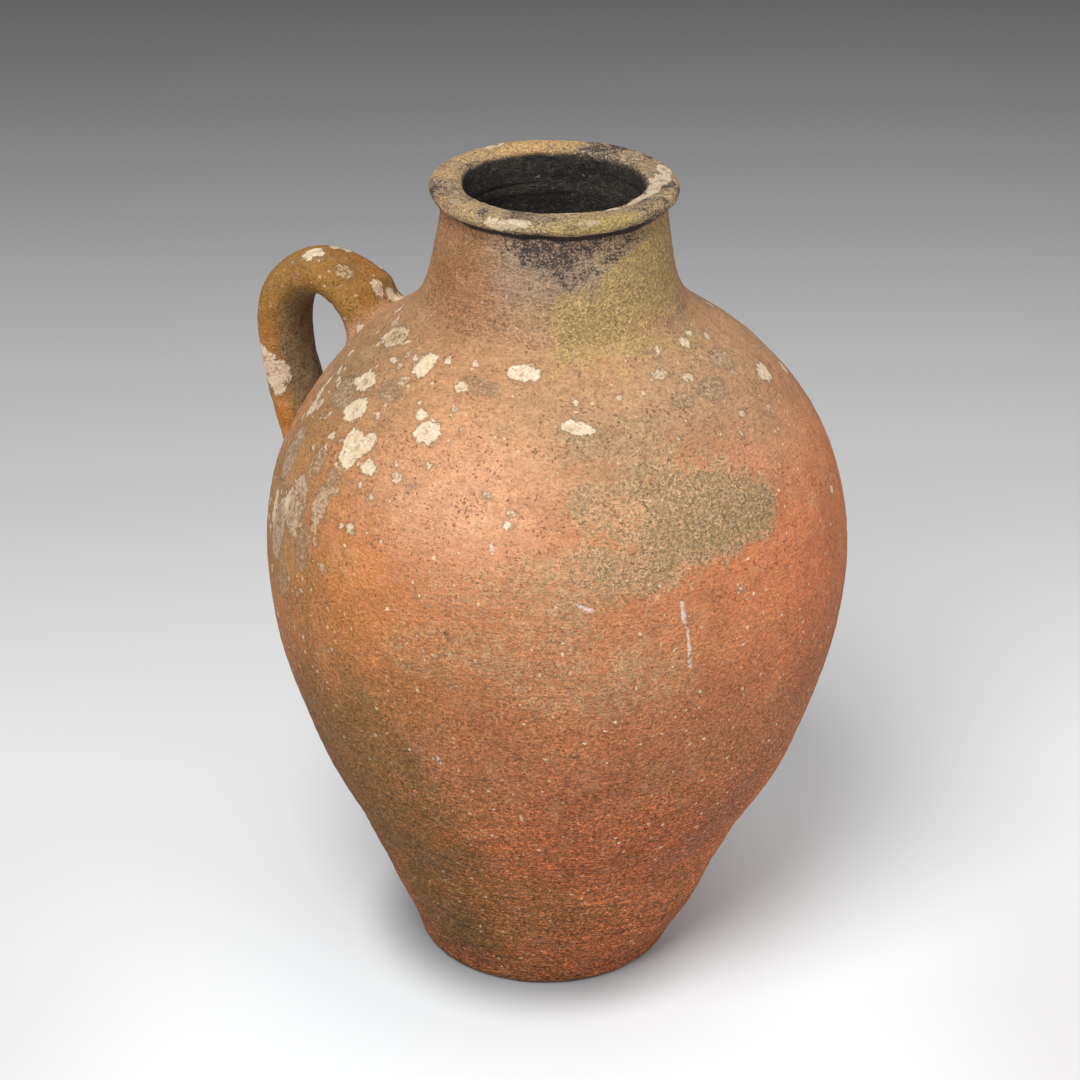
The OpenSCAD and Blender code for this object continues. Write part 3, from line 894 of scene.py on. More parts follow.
def push(grid, profile_tangent, amount):
    """Moves a revolved grid along its outward normals."""
    n = np.stack([profile_tangent[:, 1:2] * np.cos(AZ), profile_tangent[:, 1:2] * np.sin(AZ),
                  np.repeat(-profile_tangent[:, :1], N_AZ, 1)], -1)
    return grid + n * amount[..., None]


def rows_by_length(u0, u1, spacing):
    uu = np.linspace(u0, u1, 400)
    pts = outer(uu)
    s = np.r_[0, np.cumsum(np.linalg.norm(np.diff(pts, axis=0), axis=1))]
    n = max(3, int(math.ceil(s[-1] / spacing)))
    u = np.interp(np.linspace(0, s[-1], n + 1), s, uu)
    u[0], u[-1] = u0, u1
    return u


def displaced_outer(u):
    g = revolve(outer(u))
    flat = g.reshape(-1, 3)
    g2 = push(g, tangent(u), unevenness(flat).reshape(g.shape[:2]))
    return g2 + lean(flat).reshape(g.shape), g


def displaced_inner(rz):
    g = revolve(rz)
    flat = g.reshape(-1, 3)
    wave = 0.7 * fbm(flat, 60, 2, 121) + 0.5 * np.sin(flat[:, 2] * 2 * math.pi / 13)
    out = np.array(flat)
    r = np.hypot(out[:, 0], out[:, 1])
    out[:, :2] *= ((r + wave) / r)[:, None]
    return (out + lean(flat)).reshape(g.shape), g


def wall(name, u0, u1, material, node, spacing=1.8, inside=None):
    u = rows_by_length(u0, u1, spacing)
    step0, step1 = u[1] - u[0], u[-1] - u[-2]
    ghost = np.r_[max(u[0] - step0, 0), u, min(u[-1] + step1, LAST)]
    g, base = displaced_outer(ghost)
    n = grid_normals(g)[1:-1]
    g, base = g[1:-1], base[1:-1]
    if inside is None:
        inside = inner(np.linspace(u1, u0, max(4, int(len(u) * spacing / 8))))
    gi, base_i = displaced_inner(inside)
    p = np.concatenate([base.reshape(-1, 3), base_i.reshape(-1, 3)])
    within = np.r_[np.zeros(base.shape[0] * N_AZ, bool), np.ones(base_i.shape[0] * N_AZ, bool)]
    return closed_ring(name, g, n, gi, wall_fields(p, within), material, node)


foot_in = inner(np.array([float(CUT_SHOULDER)]))[0]
NECK_INSIDE = [(MOUTH_R, WALL_TOP), (MOUTH_R + 3, WALL_TOP - 14),
               (0.3 * MOUTH_R + 0.7 * foot_in[0] - 3, 0.35 * WALL_TOP + 0.65 * foot_in[1]), tuple(foot_in)]

wall("foot_wall_clay", CUT_BASE, CUT_FOOT, clay, "foot_wall")
wall("lower_wall_clay", CUT_FOOT, CUT_LOWER, clay, "lower_wall")
wall("belly_wall_clay", CUT_LOWER, CUT_BELLY, clay, "belly_wall")
wall("upper_wall_clay", CUT_BELLY, 12, clay, "upper_wall")
wall("shoulder_clay", 12, CUT_SHOULDER, clay, "shoulder", 1.5)
wall("neck_clay", CUT_SHOULDER, LAST, clay_neck, "neck", 1.1,
     spline(NECK_INSIDE, np.linspace(0, 3, 14)))

# ------------------------------------------------------------------ the lip
LIP = [(75, 548), (75.05, 552), (75.1, 556.2), (75.5, 559.2), (77.2, 561.0), (80.0, 562.2), (81.8, 564.4), (82.1, 567.3), (81.4, 570.1),
       (79.4, 571.7), (76.2, 572.1), (72, 572.1), (67, 571.8), (63.2, 571.0), (61.0, 569.6), (60.2, 567.0), (60, 563), (60, 556), (60, 548)]
# azimuth, place along the lip's outline in millimetres from the neck's end, half width round,
# half length along, tint, how solid, depth of the chip
CHIPS = [
    (45, 31, 12, 6.5, 0.45, 1.0, 1.2),
    (30, 38, 13, 7.5, 0.65, 1.0, 1.4),
    (12, 41.5, 17, 5.0, 0.65, 1.0, 1.4),
    (-10, 42.8, 18, 3.4, 0.45, 1.0, 1.0),
    (-32, 43.4, 16, 2.6, 0.35, 1.0, 0.8),
    (-56, 43.8, 13, 2.0, 0.30, 1.0, 0.5),
    (-88, 23, 9, 4.4, 0.15, 0.9, 0.25),
    (-79, 24.5, 8, 4.4, 0.10, 0.9, 0.25),
    (-46, 26, 6, 3.4, 0.15, 0.40, 0.1),
    (-118, 30, 5, 3.0, 0.2, 0.35, 0.1),
    (103, 45.5, 15, 1.2, 0.1, 0.75, 0.2),
    (150, 31, 6, 3.5, 0.2, 0.7, 0.6),
    (-160, 20, 8, 4.0, 0.2, 0.5, 0.3),
]


def make_lip():
    pts = spline(LIP, np.linspace(0, len(LIP) - 1, 900))
    s = np.r_[0, np.cumsum(np.linalg.norm(np.diff(pts, axis=0), axis=1))]
    n = int(s[-1] / 0.8)
    want = np.linspace(0, s[-1], n + 1)
    rz = np.stack([np.interp(want, s, pts[:, 0]), np.interp(want, s, pts[:, 1])], 1)
    tan = np.gradient(rz, axis=0)
    tan /= np.linalg.norm(tan, axis=1)[:, None]
    g = revolve(rz)
    flat = g.reshape(-1, 3)
    along = np.repeat(want, N_AZ)
    az = np.degrees(np.tile(AZ, len(want)))
    ends = smooth01(along / 6.0) * smooth01((s[-1] - along) / 6.0)
    h = (0.55 * fbm(flat, 26, 3, 131) + 0.30 * fbm(flat, 7, 3, 133)) * ends
    h -= 0.5 * smooth01((noise(flat / 6.0, 137) - 0.5) / 0.4) * ends
    h = h + unevenness(flat) * (1 - ends) * (along < 10)
    best, tint, firm = np.full(len(flat), -14.0), np.zeros(len(flat)), np.zeros(len(flat))
    rag = 1.6 * fbm(flat, 9, 4, 141)
    for a, sc, w, hs, kind, solid, deep in CHIPS:
        x = ((az - a + 180) % 360 - 180) * math.radians(1) * 72
        y = along - sc
        q = np.hypot(x / w, y / hs)
        gq = np.hypot(x / w ** 2, y / hs ** 2) / np.maximum(q, 1e-6)
        d = np.clip(np.where(q < 1e-3, min(w, hs), (1 - q) / np.maximum(gq, 1e-6)), -14, min(w, hs))
        h -= deep * smooth01((d + rag) / 1.3)
        win = d > best
        best[win], tint[win], firm[win] = d[win], kind, solid
    # a fine crack across the chipped part
    cx = (((az - 33 + 180) % 360 - 180) * math.radians(1) * 72) - 3.0 * np.sin(along * 0.35) - 0.9 * fbm(flat, 6, 2, 147)
    crack = np.exp(-(cx / 0.55) ** 2) * smooth01((along - 26) / 3) * smooth01((46 - along) / 4)
    h -= 0.9 * crack
    g2 = push(g, tan, h.reshape(g.shape[:2])) + lean(flat).reshape(g.shape)
    g2[0], g2[-1] = displaced_outer(np.array([float(LAST)]))[0][0], displaced_inner(np.array([[MOUTH_R, WALL_TOP]]))[0][0]
    nrm = grid_normals(g2)
    # colour: ochre crust, greener low at the front, tan to the left, dark at the back right
    n1, n2, n3 = fbm(flat, 24, 4, 151), fbm(flat, 60, 3, 157), fbm(flat, 10, 4, 159)
    col = np.tile(srgb(178, 153, 112), (len(flat), 1))

    def wash(w, c):
        nonlocal col
        w = np.clip(w, 0, 1)[:, None]
        col = col * (1 - w) + srgb(*c) * w

    near = lambda a, w: np.exp(-(turn_gap(az, a + 10 * n1) / w) ** 2)
    wash(0.85 * near(-150, 40), (184, 150, 108))
    wash(0.85 * near(130, 38) * smooth01((along - 18) / 8), (206, 166, 108))
    wash(0.85 * near(-40, 36) * smooth01((34 - along) / 8) * smooth01((along - 15) / 4), (178, 158, 94))
    wash(0.50 * near(80, 24), (112, 98, 80))
    wash(0.45 * near(-20, 26) * smooth01((along - 24) / 8), (164, 138, 96))
    wash(0.45 * smooth01((n2 - 0.1) / 0.5), (180, 158, 118))
    wash(0.40 * smooth01((n3 - 0.2) / 0.5), (120, 100, 70))
    crust = 0.62 + 0.34 * n1 + 0.24 * n3 + 0.40 * near(78, 28) * smooth01((along - 22) / 6)
    crust += 0.22 * smooth01((22 - along) / 5) * (near(-70, 60) + near(0, 40)) - 0.22 * near(-52, 30) * smooth01((along - 18) / 4) * smooth01((34 - along) / 5)
    crust += 0.22 * near(-168, 34) * smooth01((along - 40) / 5) + 0.30 * smooth01((along - 46) / 3) - 0.38 * near(136, 42)
    soot = smooth01((along - 47.0 - 1.2 * n3 - 1.6 * near(5, 40) + 2.0 * near(-170, 50)) / 4.0)
    # painted shade and dirt: a black band under the bead's overhang
    shade_and_stain = 0.95 * smooth01((along - 7.5 - 1.2 * n3) / 3.0) * smooth01((15.2 + 1.2 * n3 - along) / 2.2) * np.clip(near(-58, 60) + 0.25, 0, 1)
    join = np.zeros(len(flat))
    collar = smooth01((11.5 - along) / 3.5)
    neck = wall_fields(flat * np.array([1, 1, 0]) + np.stack([0 * az, 0 * az, np.minimum(flat[:, 2], 552)], 1), np.zeros(len(flat), bool))
    col = col * (1 - collar[:, None]) + neck["tone"] * collar[:, None]
    crust = crust * (1 - collar) + neck["crust"] * collar
    fields = {"tone": col, "lich": best, "tint": tint, "firm": firm, "algae": join - 1, "full": join, "moss": join - 1, "olive": neck["olive"] * collar - (1 - collar),
              "crust": np.clip(crust, 0, 1), "shade_and_stain": np.maximum(shade_and_stain, 0.8 * crack), "soot": soot, "mark": join}
    # the joint face under the lip, from the bore back out to the neck's top
    rows = np.linspace(0, 1, 6)[1:-1, None, None]
    seat = g2[-1:] * (1 - rows) + g2[:1] * rows
    for key, v in fields.items():
        extra = np.zeros((4 * N_AZ, 3)) + srgb(150, 110, 80) if v.ndim == 2 else np.full(4 * N_AZ, {"lich": -14.0, "algae": -1.0, "moss": -1.0, "olive": -1.0, "soot": 1.0}.get(key, 0.0))
        fields[key] = np.concatenate([v, extra])
    return closed_ring("rim_clay", g2, nrm, seat, fields, clay_rim, "rim")


make_lip()


# ------------------------------------------------------------------ the floor slab
def make_base():
    u = rows_by_length(0, CUT_BASE, 1.6)
    u = u[outer(u)[:, 1] > 3.4]
    edge = [(FOOT_R - 3.2, 0.0), (FOOT_R - 2.0, 0.25), (FOOT_R - 0.9, 1.0), (FOOT_R - 0.1, 2.2)]
    rz = np.concatenate([edge, outer(u)])
    g = revolve(rz)
    flat = g.reshape(-1, 3)
    tan = np.gradient(rz, axis=0)
    tan /= np.linalg.norm(tan, axis=1)[:, None]
    h = unevenness(flat) - 0.5 * smooth01((noise(flat / 5.0, 163) - 0.35) / 0.4) * smooth01((7 - flat[:, 2]) / 5) * smooth01(flat[:, 2] / 1.5)
    g2 = push(g, tan, h.reshape(g.shape[:2])) + lean(flat).reshape(g.shape)
    g2[..., 2] = np.maximum(g2[..., 2], 0)
    top = displaced_outer(np.array([float(CUT_BASE)]))[0][0]
    g2[-1] = top
    shift = lean(np.array([[0, 0, 0.0]]))[0]
    radii_low, radii_top = [78, 60, 40, 20], [93, 86, 78, 60, 40, 20]
    low = np.stack([np.stack([r * np.cos(AZ) + shift[0], r * np.sin(AZ) + shift[1],
                              0.5 * smooth01((78 - r) / 30) + np.zeros(N_AZ)], -1) for r in radii_low[::-1]])
    shift2 = lean(np.array([[0, 0, BASE_T]]))[0]
    lid = np.stack([np.stack([r * np.cos(AZ) + shift2[0], r * np.sin(AZ) + shift2[1], np.full(N_AZ, BASE_T)], -1) for r in radii_top])
    grid = np.concatenate([low, g2, lid])
    rows = len(grid)
    verts = np.concatenate([grid.reshape(-1, 3), [[shift[0], shift[1], 0.5], [shift2[0], shift2[1], BASE_T]]])
    j = np.arange(N_AZ)
    jn = (j + 1) % N_AZ
    quads = np.concatenate([np.stack([i * N_AZ + j, i * N_AZ + jn, (i + 1) * N_AZ + jn, (i + 1) * N_AZ + j], 1) for i in range(rows - 1)])
    a, b = rows * N_AZ, rows * N_AZ + 1
    tris = np.concatenate([np.stack([np.full(N_AZ, a), jn, j], 1), np.stack([np.full(N_AZ, b), (rows - 1) * N_AZ + j, (rows - 1) * N_AZ + jn], 1)])
    n = grid_normals(grid)
    n[:4] = (0, 0, -1)
    n[4 + len(g2):] = (0, 0, 1)
    side = grid_normals(g2)
    side[-1] = side[-2]
    n[4:4 + len(g2)] = side
    nv = n.reshape(-1, 3)
    cn = nv[quads]
    lidq = slice((4 + len(g2) - 1) * N_AZ, None)
    cn[lidq] = (0, 0, 1)
    tn = np.zeros((2 * N_AZ, 3, 3))
    tn[:N_AZ, :, 2], tn[N_AZ:, :, 2] = -1, 1
    # UVs: two discs seen flat, and the edge as a strip
    uvq = np.zeros((rows - 1, N_AZ, 4, 2))
    disc = lambda q, cx: np.stack([cx + q[..., 0] / 100 * 0.24, 0.25 + q[..., 1] / 100 * 0.24], -1)
    qpos = verts[quads].reshape(rows - 1, N_AZ, 4, 3)
    uvq[:4] = disc(qpos[:4], 0.25)
    uvq[4 + len(g2) - 1:] = disc(qpos[4 + len(g2) - 1:], 0.75)
    uvq[4 + len(g2) - 1:] = disc(qpos[4 + len(g2) - 1:], 0.75)
    third = N_AZ // 3
    k = j // third
    ua, ub = 0.003 + 0.994 * (j - k * third) / third, 0.003 + 0.994 * (j - k * third + 1) / third
    lo = 0.52 + 0.16 * k
    for i in range(len(g2) - 1):
        va, vb = lo + 0.15 * i / (len(g2) - 1), lo + 0.15 * (i + 1) / (len(g2) - 1)
        uvq[4 + i] = np.stack([np.stack([ua, va], -1), np.stack([ub, va], -1), np.stack([ub, vb], -1), np.stack([ua, vb], -1)], 1)
    uvt = np.concatenate([disc(verts[tris[:N_AZ]], 0.25), disc(verts[tris[N_AZ:]], 0.75)])
    base_pts = np.concatenate([revolve([(r, 0.0) for r in radii_low[::-1]]).reshape(-1, 3), flat,
                               revolve([(r, BASE_T) for r in radii_top]).reshape(-1, 3), [[0.01, 0, 0], [0.01, 0, BASE_T]]])
    inside = np.zeros(len(base_pts), bool)
    inside[(4 + len(g2)) * N_AZ:] = True
    inside[-2] = False
    f = wall_fields(base_pts, inside)
    under = (base_pts[:, 2] < 0.1)
    f["tone"][under] = srgb(176, 122, 84)
    # the worn pale line round the very bottom
    edge_w = np.exp(-((base_pts[:, 2] - 1.6) / 1.3) ** 2) * (~inside)
    f["tone"] = f["tone"] * (1 - 0.7 * edge_w[:, None]) + srgb(214, 184, 146) * 0.7 * edge_w[:, None]
    return build("base_disc_clay", verts, quads, cn, uvq.reshape(-1, 4, 2), f, clay, "base_disc", tris, tn, uvt)


make_base()

# ------------------------------------------------------------------ the handle
ROOT_UP, ROOT_LOW = spline(STATIONS, [13.0, 8.5])
PATH = np.array([ROOT_UP + d for d in [(-16, -18), (-3, 1), (6, 15), (24, 26), (41, 28), (57, 20), (69, 4), (74, -22)]]
                + [ROOT_LOW + d for d in [(16, 48), (8, 21), (-1, -2), (-9, -13)]])
FLARE = 1.45
SIZE = np.array([FLARE, 0.68 * FLARE + 0.32, 0.36 * FLARE + 0.64, 1.04, 1, 1, 1, 1, 1, 1.04, 0.5 * FLARE + 0.5, 0.85 * FLARE + 0.15])
TOP_CUT, LOW_CUT = 2.0, 9.0
N_PHI = 144
PHI = -np.linspace(0, 2 * math.pi, N_PHI, endpoint=False)


def strap_rings(v):
    """Ovals round the strap's path: points, normals. The path lies in the plane Y = 0, towards -X."""
    c = spline(PATH, v)
    e = 1e-3
    t = spline(PATH, np.minimum(v + e, 11)) - spline(PATH, np.maximum(v - e, 0))
    t /= np.linalg.norm(t, axis=1)[:, None]
    k = spline(SIZE[:, None], v)[:, 0]
    w, h = 25.0 * k, 16.0 * (0.35 + 0.65 * k)
    cw, sw = np.cos(PHI)[None], np.sin(PHI)[None]
    side = w[:, None] * cw
    lift = h[:, None] * sw
    pts = np.stack([-(c[:, :1] - lift * t[:, 1:2]), side, c[:, 1:2] + lift * t[:, :1]], -1)
    nw, nh = cw / w[:, None], sw / h[:, None]
    norm = np.hypot(nw, nh)
    nw, nh = nw / norm, nh / norm
    nrm = np.stack([nh * t[:, 1:2], nw, nh * t[:, :1]], -1)
    return pts, nrm, c, t


def strap_bumps(p):
    h = 0.9 * fbm(p, 46, 2, 201) + 0.45 * fbm(p, 15, 3, 207) + 0.12 * fbm(p, 5, 3, 211)
    return h - 0.6 * smooth01((noise(p / 9.0, 213) - 0.55) / 0.4)


# x, y, z in millimetres on the strap, radius, tint, how solid
STRAP_SPOTS = [
    (-183, -10, 490, 7.5, 0.1, 1.0), (-177, -9, 491, 4.0, 0.1, 0.9), (-175, 8, 490, 5.5, 0.1, 0.9), (-168, 12, 489, 4.5, 0.2, 0.8),
    (-194, -17, 483, 2.2, 0.2, 0.8), (-154, -14, 483, 6.5, 0.4, 0.30), (-173, -13, 489, 2.0, 0.2, 0.6),
    (-133, -4, 471, 6.5, 0.3, 0.75), (-128, 6, 464, 7.0, 0.1, 0.9), (-127, 17, 459, 5.0, 0.2, 0.7), (-135, -32, 450, 5.0, 0.9, 0.6),
    (-220, -16, 408, 12.0, 0.7, 0.85), (-214, -22, 398, 12.0, 0.75, 0.85), (-210, -24, 389, 7.0, 0.7, 0.75), (-222, -8, 396, 11.0, 0.6, 0.7),
    (-221, 10, 440, 9.0, 0.2, 0.7), (-206, 20, 470, 8.0, 0.4, 0.6), (-224, 16, 410, 7.0, 0.1, 0.8), (-150, 22, 478, 5.0, 0.3, 0.8),
]


def strap_fields(p, shade):
    n1, n2, n3 = fbm(p, 30, 4, 221), fbm(p, 60, 3, 227), fbm(p, 16, 4, 229)
    col = np.tile(srgb(150, 107, 46), (len(p), 1))

    def wash(w, c):
        nonlocal col
        w = np.clip(w, 0, 1)[:, None]
        col = col * (1 - w) + srgb(*c) * w

    wash(0.55 * smooth01((n1 + 0.15) / 0.7), (156, 103, 46))
    wash(0.50 * smooth01((n2 + 0.1) / 0.6), (140, 102, 50))
    low = smooth01((445 - p[:, 2] + 14 * n2) / 60)
    wash(0.80 * low, (184, 114, 46))
    wash(0.60 * low * smooth01((n3 - 0.05) / 0.4), (184, 96, 46))
    wash(0.55 * low * smooth01((n1 - 0.05) / 0.4), (126, 98, 50))
    # painted shade: a darker olive colour on the inside of the loop
    wash(0.75 * shade, (118, 98, 40))
    d, tint, firm = np.full(len(p), -14.0), np.zeros(len(p)), np.zeros(len(p))
    for x, y, z, r, kind, solid in STRAP_SPOTS:
        g = r - np.linalg.norm(p - np.array([x, y, z]), axis=1)
        win = g > d
        d[win], tint[win], firm[win] = g[win], kind, solid
    zero = np.zeros(len(p))
    # the inside of the loop also gets more moss and crust, and a black band of painted shade
    return {"tone": col, "lich": np.maximum(d, -14), "tint": tint, "firm": firm, "algae": zero - 1.0, "full": zero,
            "moss": np.clip(-0.35 + 1.1 * shade + 0.5 * n1 + 0.25 * low, -1, 1), "olive": zero - 1.0,
            "crust": np.clip(0.22 + 0.14 * n1 + 0.45 * shade, 0, 1), "shade_and_stain": 0.16 * shade ** 2, "soot": zero, "mark": zero}


def tube_piece(name, grid, normals, fields, node, caps):
    """A closed tube: rows along it, wrapping in the second index, with end caps given as inner rows and a centre."""
    rows = len(grid)
    verts = [grid.reshape(-1, 3)]
    j = np.arange(N_PHI)
    jn = (j + 1) % N_PHI
    quads = [np.stack([i * N_PHI + j, i * N_PHI + jn, (i + 1) * N_PHI + jn, (i + 1) * N_PHI + j], 1) for i in range(rows - 1)]
    nv = normals.reshape(-1, 3)
    cn = [nv[q] for q in quads]
    uv = []
    half = N_PHI // 2
    for i in range(rows - 1):
        k = j // half
        ua, ub = 0.004 + 0.49 * (j - k * half) / half + 0.5 * k, 0.004 + 0.49 * (j - k * half + 1) / half + 0.5 * k
        va, vb = np.full(N_PHI, 0.004 + 0.85 * i / (rows - 1)), np.full(N_PHI, 0.004 + 0.85 * (i + 1) / (rows - 1))
        uv.append(np.stack([np.stack([ua, va], -1), np.stack([ub, va], -1), np.stack([ub, vb], -1), np.stack([ua, vb], -1)], 1))
    total = rows * N_PHI
    tris, tn, tuv = [], [], []
    for first, (inner_rows, centre) in zip((True, False), caps):
        ring = grid[0] if first else grid[-1]
        base = 0 if first else (rows - 1) * N_PHI
        prev = base
        prev_pts = ring
        cx = 0.1 if first else 0.3
        scale = 0.055 / np.abs(ring - centre).max()

        def flat_uv(q):
            e1 = ring[0] - ring[half]
            e1 = e1 / np.linalg.norm(e1)
            e2 = ring[N_PHI // 4] - ring[3 * N_PHI // 4]
            e2 = e2 / np.linalg.norm(e2)
            q = q - centre
            return np.stack([cx + (q @ e1) * scale, 0.93 + (q @ e2) * scale], -1)

        for pts in inner_rows:
            verts.append(pts)
            q = np.stack([prev + j, prev + jn, total + jn, total + j], 1)
            corner = np.stack([prev_pts, np.roll(prev_pts, -1, 0), np.roll(pts, -1, 0), pts], 1)
            if first:
                q, corner = q[:, ::-1], corner[:, ::-1]
            f = np.cross(corner[:, 1] - corner[:, 0], corner[:, 3] - corner[:, 0])
            f /= np.maximum(np.linalg.norm(f, axis=1)[:, None], 1e-12)
            quads.append(q)
            cn.append(np.repeat(f[:, None], 4, 1))
            uv.append(flat_uv(corner))
            prev, prev_pts = total, pts
            total += N_PHI
        verts.append(centre[None])
        t = np.stack([np.full(N_PHI, total), prev + j, prev + jn], 1)
        corner = np.stack([np.repeat(centre[None], N_PHI, 0), prev_pts, np.roll(prev_pts, -1, 0)], 1)
        if first:
            t, corner = t[:, ::-1], corner[:, ::-1]
        f = np.cross(corner[:, 1] - corner[:, 0], corner[:, 2] - corner[:, 0])
        f /= np.maximum(np.linalg.norm(f, axis=1)[:, None], 1e-12)
        tris.append(t)
        tn.append(np.repeat(f[:, None], 3, 1))
        tuv.append(flat_uv(corner))
        total += 1
    verts = np.concatenate(verts)
    extra = len(verts) - rows * N_PHI
    for key, v in fields.items():
        fields[key] = np.concatenate([v, np.repeat(v[:1], extra, 0)])
    return build(name, verts, np.concatenate(quads), np.concatenate(cn), np.concatenate(uv), fields, clay_handle, node,
                 np.concatenate(tris), np.concatenate(tn), np.concatenate(tuv))


def flat_cap(ring):
    c = ring.mean(0)
    return [c + (ring - c) * k for k in (0.7, 0.4)], c


def strap_surface(v):
    pts, nrm, c, t = strap_rings(v)
    flat = pts.reshape(-1, 3)
    h = strap_bumps(flat).reshape(pts.shape[:2])
    return pts + nrm * h[..., None] + lean(flat).reshape(pts.shape), nrm, pts


def inner_side(rows):
    """1 on the inside of the loop, 0 on its outside, for so many rows of ovals."""
    return np.tile(smooth01((-np.sin(PHI) - 0.05) / 0.75), (rows, 1))


def make_strap():
    cc = spline(PATH, np.linspace(TOP_CUT, LOW_CUT, 500))
    s = np.r_[0, np.cumsum(np.linalg.norm(np.diff(cc, axis=0), axis=1))]
    v = np.interp(np.linspace(0, s[-1], int(s[-1] / 1.2)), s, np.linspace(TOP_CUT, LOW_CUT, 500))
    g, nrm, pts = strap_surface(v)
    gn = grid_normals(g)
    flip = np.sign((gn * nrm).sum(-1).mean())
    if flip < 0:
        raise RuntimeError("strap is inside out")
    # painted shade on the inside of the loop, deeper towards the lower root
    shade = (inner_side(len(v)) * (0.35 + 0.65 * smooth01((v - 3.2) / 1.6))[:, None]).reshape(-1)
    f = strap_fields(pts.reshape(-1, 3), shade)
    return tube_piece("handle_clay", g, gn, f, "handle", (flat_cap(g[0]), flat_cap(g[-1])))


def body_surface(az, u):
    """The jar's displaced outer face at azimuth and place along the outline (1-D arrays), and its normal."""
    rz, t = outer(u), tangent(u)
    base = np.stack([rz[:, 0] * np.cos(az), rz[:, 0] * np.sin(az), rz[:, 1]], -1)
    n = np.stack([t[:, 1] * np.cos(az), t[:, 1] * np.sin(az), -t[:, 0]], -1)
    return base + n * unevenness(base)[:, None] + lean(base), n, base


def arc_u(u0, dist):
    """The place on the outline a signed distance from u0, in millimetres."""
    s_all = np.r_[0, np.cumsum(np.linalg.norm(np.diff(_rz, axis=0), axis=1))]
    return np.interp(np.interp(u0, _uu, s_all) + dist, s_all, _uu)


def make_root(name, node, cut, centre_u, half_w, up_len, down_len, out_first, lead, follow, rows=44):
    """A root: from the strap's oval at the cut, smeared out onto the wall and tangent to it."""
    ring, nrm, pts = strap_surface(np.array([cut, cut + (0.01 if out_first else -0.01)]))
    start, along = ring[0], None
    c, t = strap_rings(np.array([cut]))[2:]
    t3 = np.array([-t[0, 0], 0.0, t[0, 1]]) * (-1 if out_first else 1)  # towards the wall
    cu, su = np.cos(PHI), np.sin(PHI)
    # the side of the oval that ends up higher on the wall
    top_side = np.where(su >= 0, up_len, down_len) if out_first else np.where(su >= 0, down_len, up_len)
    sign = 1 if out_first else -1
    wig = 2.2 * np.array([math.sin(3 * a + 1) + 0.6 * math.sin(5 * a + 2) for a in PHI])
    u_foot = arc_u(centre_u, sign * su * (top_side + wig))
    r_mid = outer(np.array([centre_u]))[0, 0]
    az_foot = math.pi - (half_w + wig) * cu / r_mid
    end, n_end, base_end = body_surface(az_foot, u_foot)
    mid, n_mid, _ = body_surface(np.array([math.pi]), np.array([centre_u]))
    end = end - n_end * 0.35
    outward = end - mid
    outward -= n_end * (outward * n_end).sum(1)[:, None]
    outward /= np.linalg.norm(outward, axis=1)[:, None]
    x = np.linspace(0, 1, rows)[:, None, None]
    h00, h10 = 2 * x ** 3 - 3 * x ** 2 + 1, x ** 3 - 2 * x ** 2 + x
    h01, h11 = -2 * x ** 3 + 3 * x ** 2, x ** 3 - x ** 2
    g = h00 * start[None] + h10 * lead * t3[None, None] + h01 * end[None] + h11 * follow * outward[None]
    gn = grid_normals(g)
    flip = -1.0 if (gn[0] * nrm[0]).sum() < 0 else 1.0
    gn = gn * flip
    amount = (0.6 * fbm(g.reshape(-1, 3), 14, 3, 231) + 0.12 * fbm(g.reshape(-1, 3), 5, 3, 233)).reshape(g.shape[:2])
    fade = (np.sin(np.linspace(0, 1, rows) * math.pi) ** 0.7)[:, None]
    g = g + gn * (amount * fade)[..., None]
    gn = grid_normals(g) * flip
    blend = smooth01((np.linspace(0, 1, rows) - 0.8) / 0.2)[:, None, None]
    gn = gn * (1 - blend) + n_end[None] * blend
    gn /= np.linalg.norm(gn, axis=-1, keepdims=True)
    if flip < 0:
        g, gn = g[::-1], gn[::-1]
    # under the root: down the wall's own face to the middle
    inner_rows = []
    for k in (0.8, 0.55, 0.3):
        uu_k = centre_u + (u_foot - centre_u) * k
        az_k = math.pi + (az_foot - math.pi) * k
        q, nq, _ = body_surface(az_k, uu_k)
        inner_rows.append(q - nq * 0.35)
    wall_cap = (inner_rows, (mid - n_mid * 0.35)[0])
    caps = (flat_cap(g[0]), wall_cap) if flip > 0 else (wall_cap, flat_cap(g[-1]))
    flat = g.reshape(-1, 3)
    near_wall = np.linspace(0, 1, rows)[:, None] + np.zeros((1, N_PHI))
    if flip < 0:
        near_wall = near_wall[::-1]
    near_wall = smooth01((near_wall.reshape(-1) - 0.25 + 0.25 * fbm(flat, 18, 3, 241)) / 0.6)
    back = flat - lean(flat)
    # painted shade on the inside of the loop, weaker on the upper root, fading out onto the wall
    shade = (inner_side(rows) * (0.35 if out_first else 1.0)).reshape(-1) * (1 - near_wall)
    f = strap_fields(back, shade)
    w = wall_fields(back, np.zeros(len(flat), bool))
    f["tone"] = f["tone"] * (1 - near_wall[:, None]) + w["tone"] * near_wall[:, None]
    f["crust"] = f["crust"] * (1 - near_wall) + w["crust"] * near_wall
    keep = w["lich"] > f["lich"]
    for key in ("lich", "tint", "firm"):
        f[key] = np.where(keep, w[key], f[key])
    for key in ("algae", "full", "moss", "olive"):
        f[key] = f[key] * (1 - near_wall) + w[key] * near_wall
    return tube_piece(name, g, gn, f, node, caps)


make_strap()
make_root("handle_root_upper_clay", "handle_root_upper", TOP_CUT, 12.9, 40, 30, 24, True, 16, 34)
make_root("handle_root_lower_clay", "handle_root_lower", LOW_CUT, 8.25, 36, 30, 34, False, 22, 36)

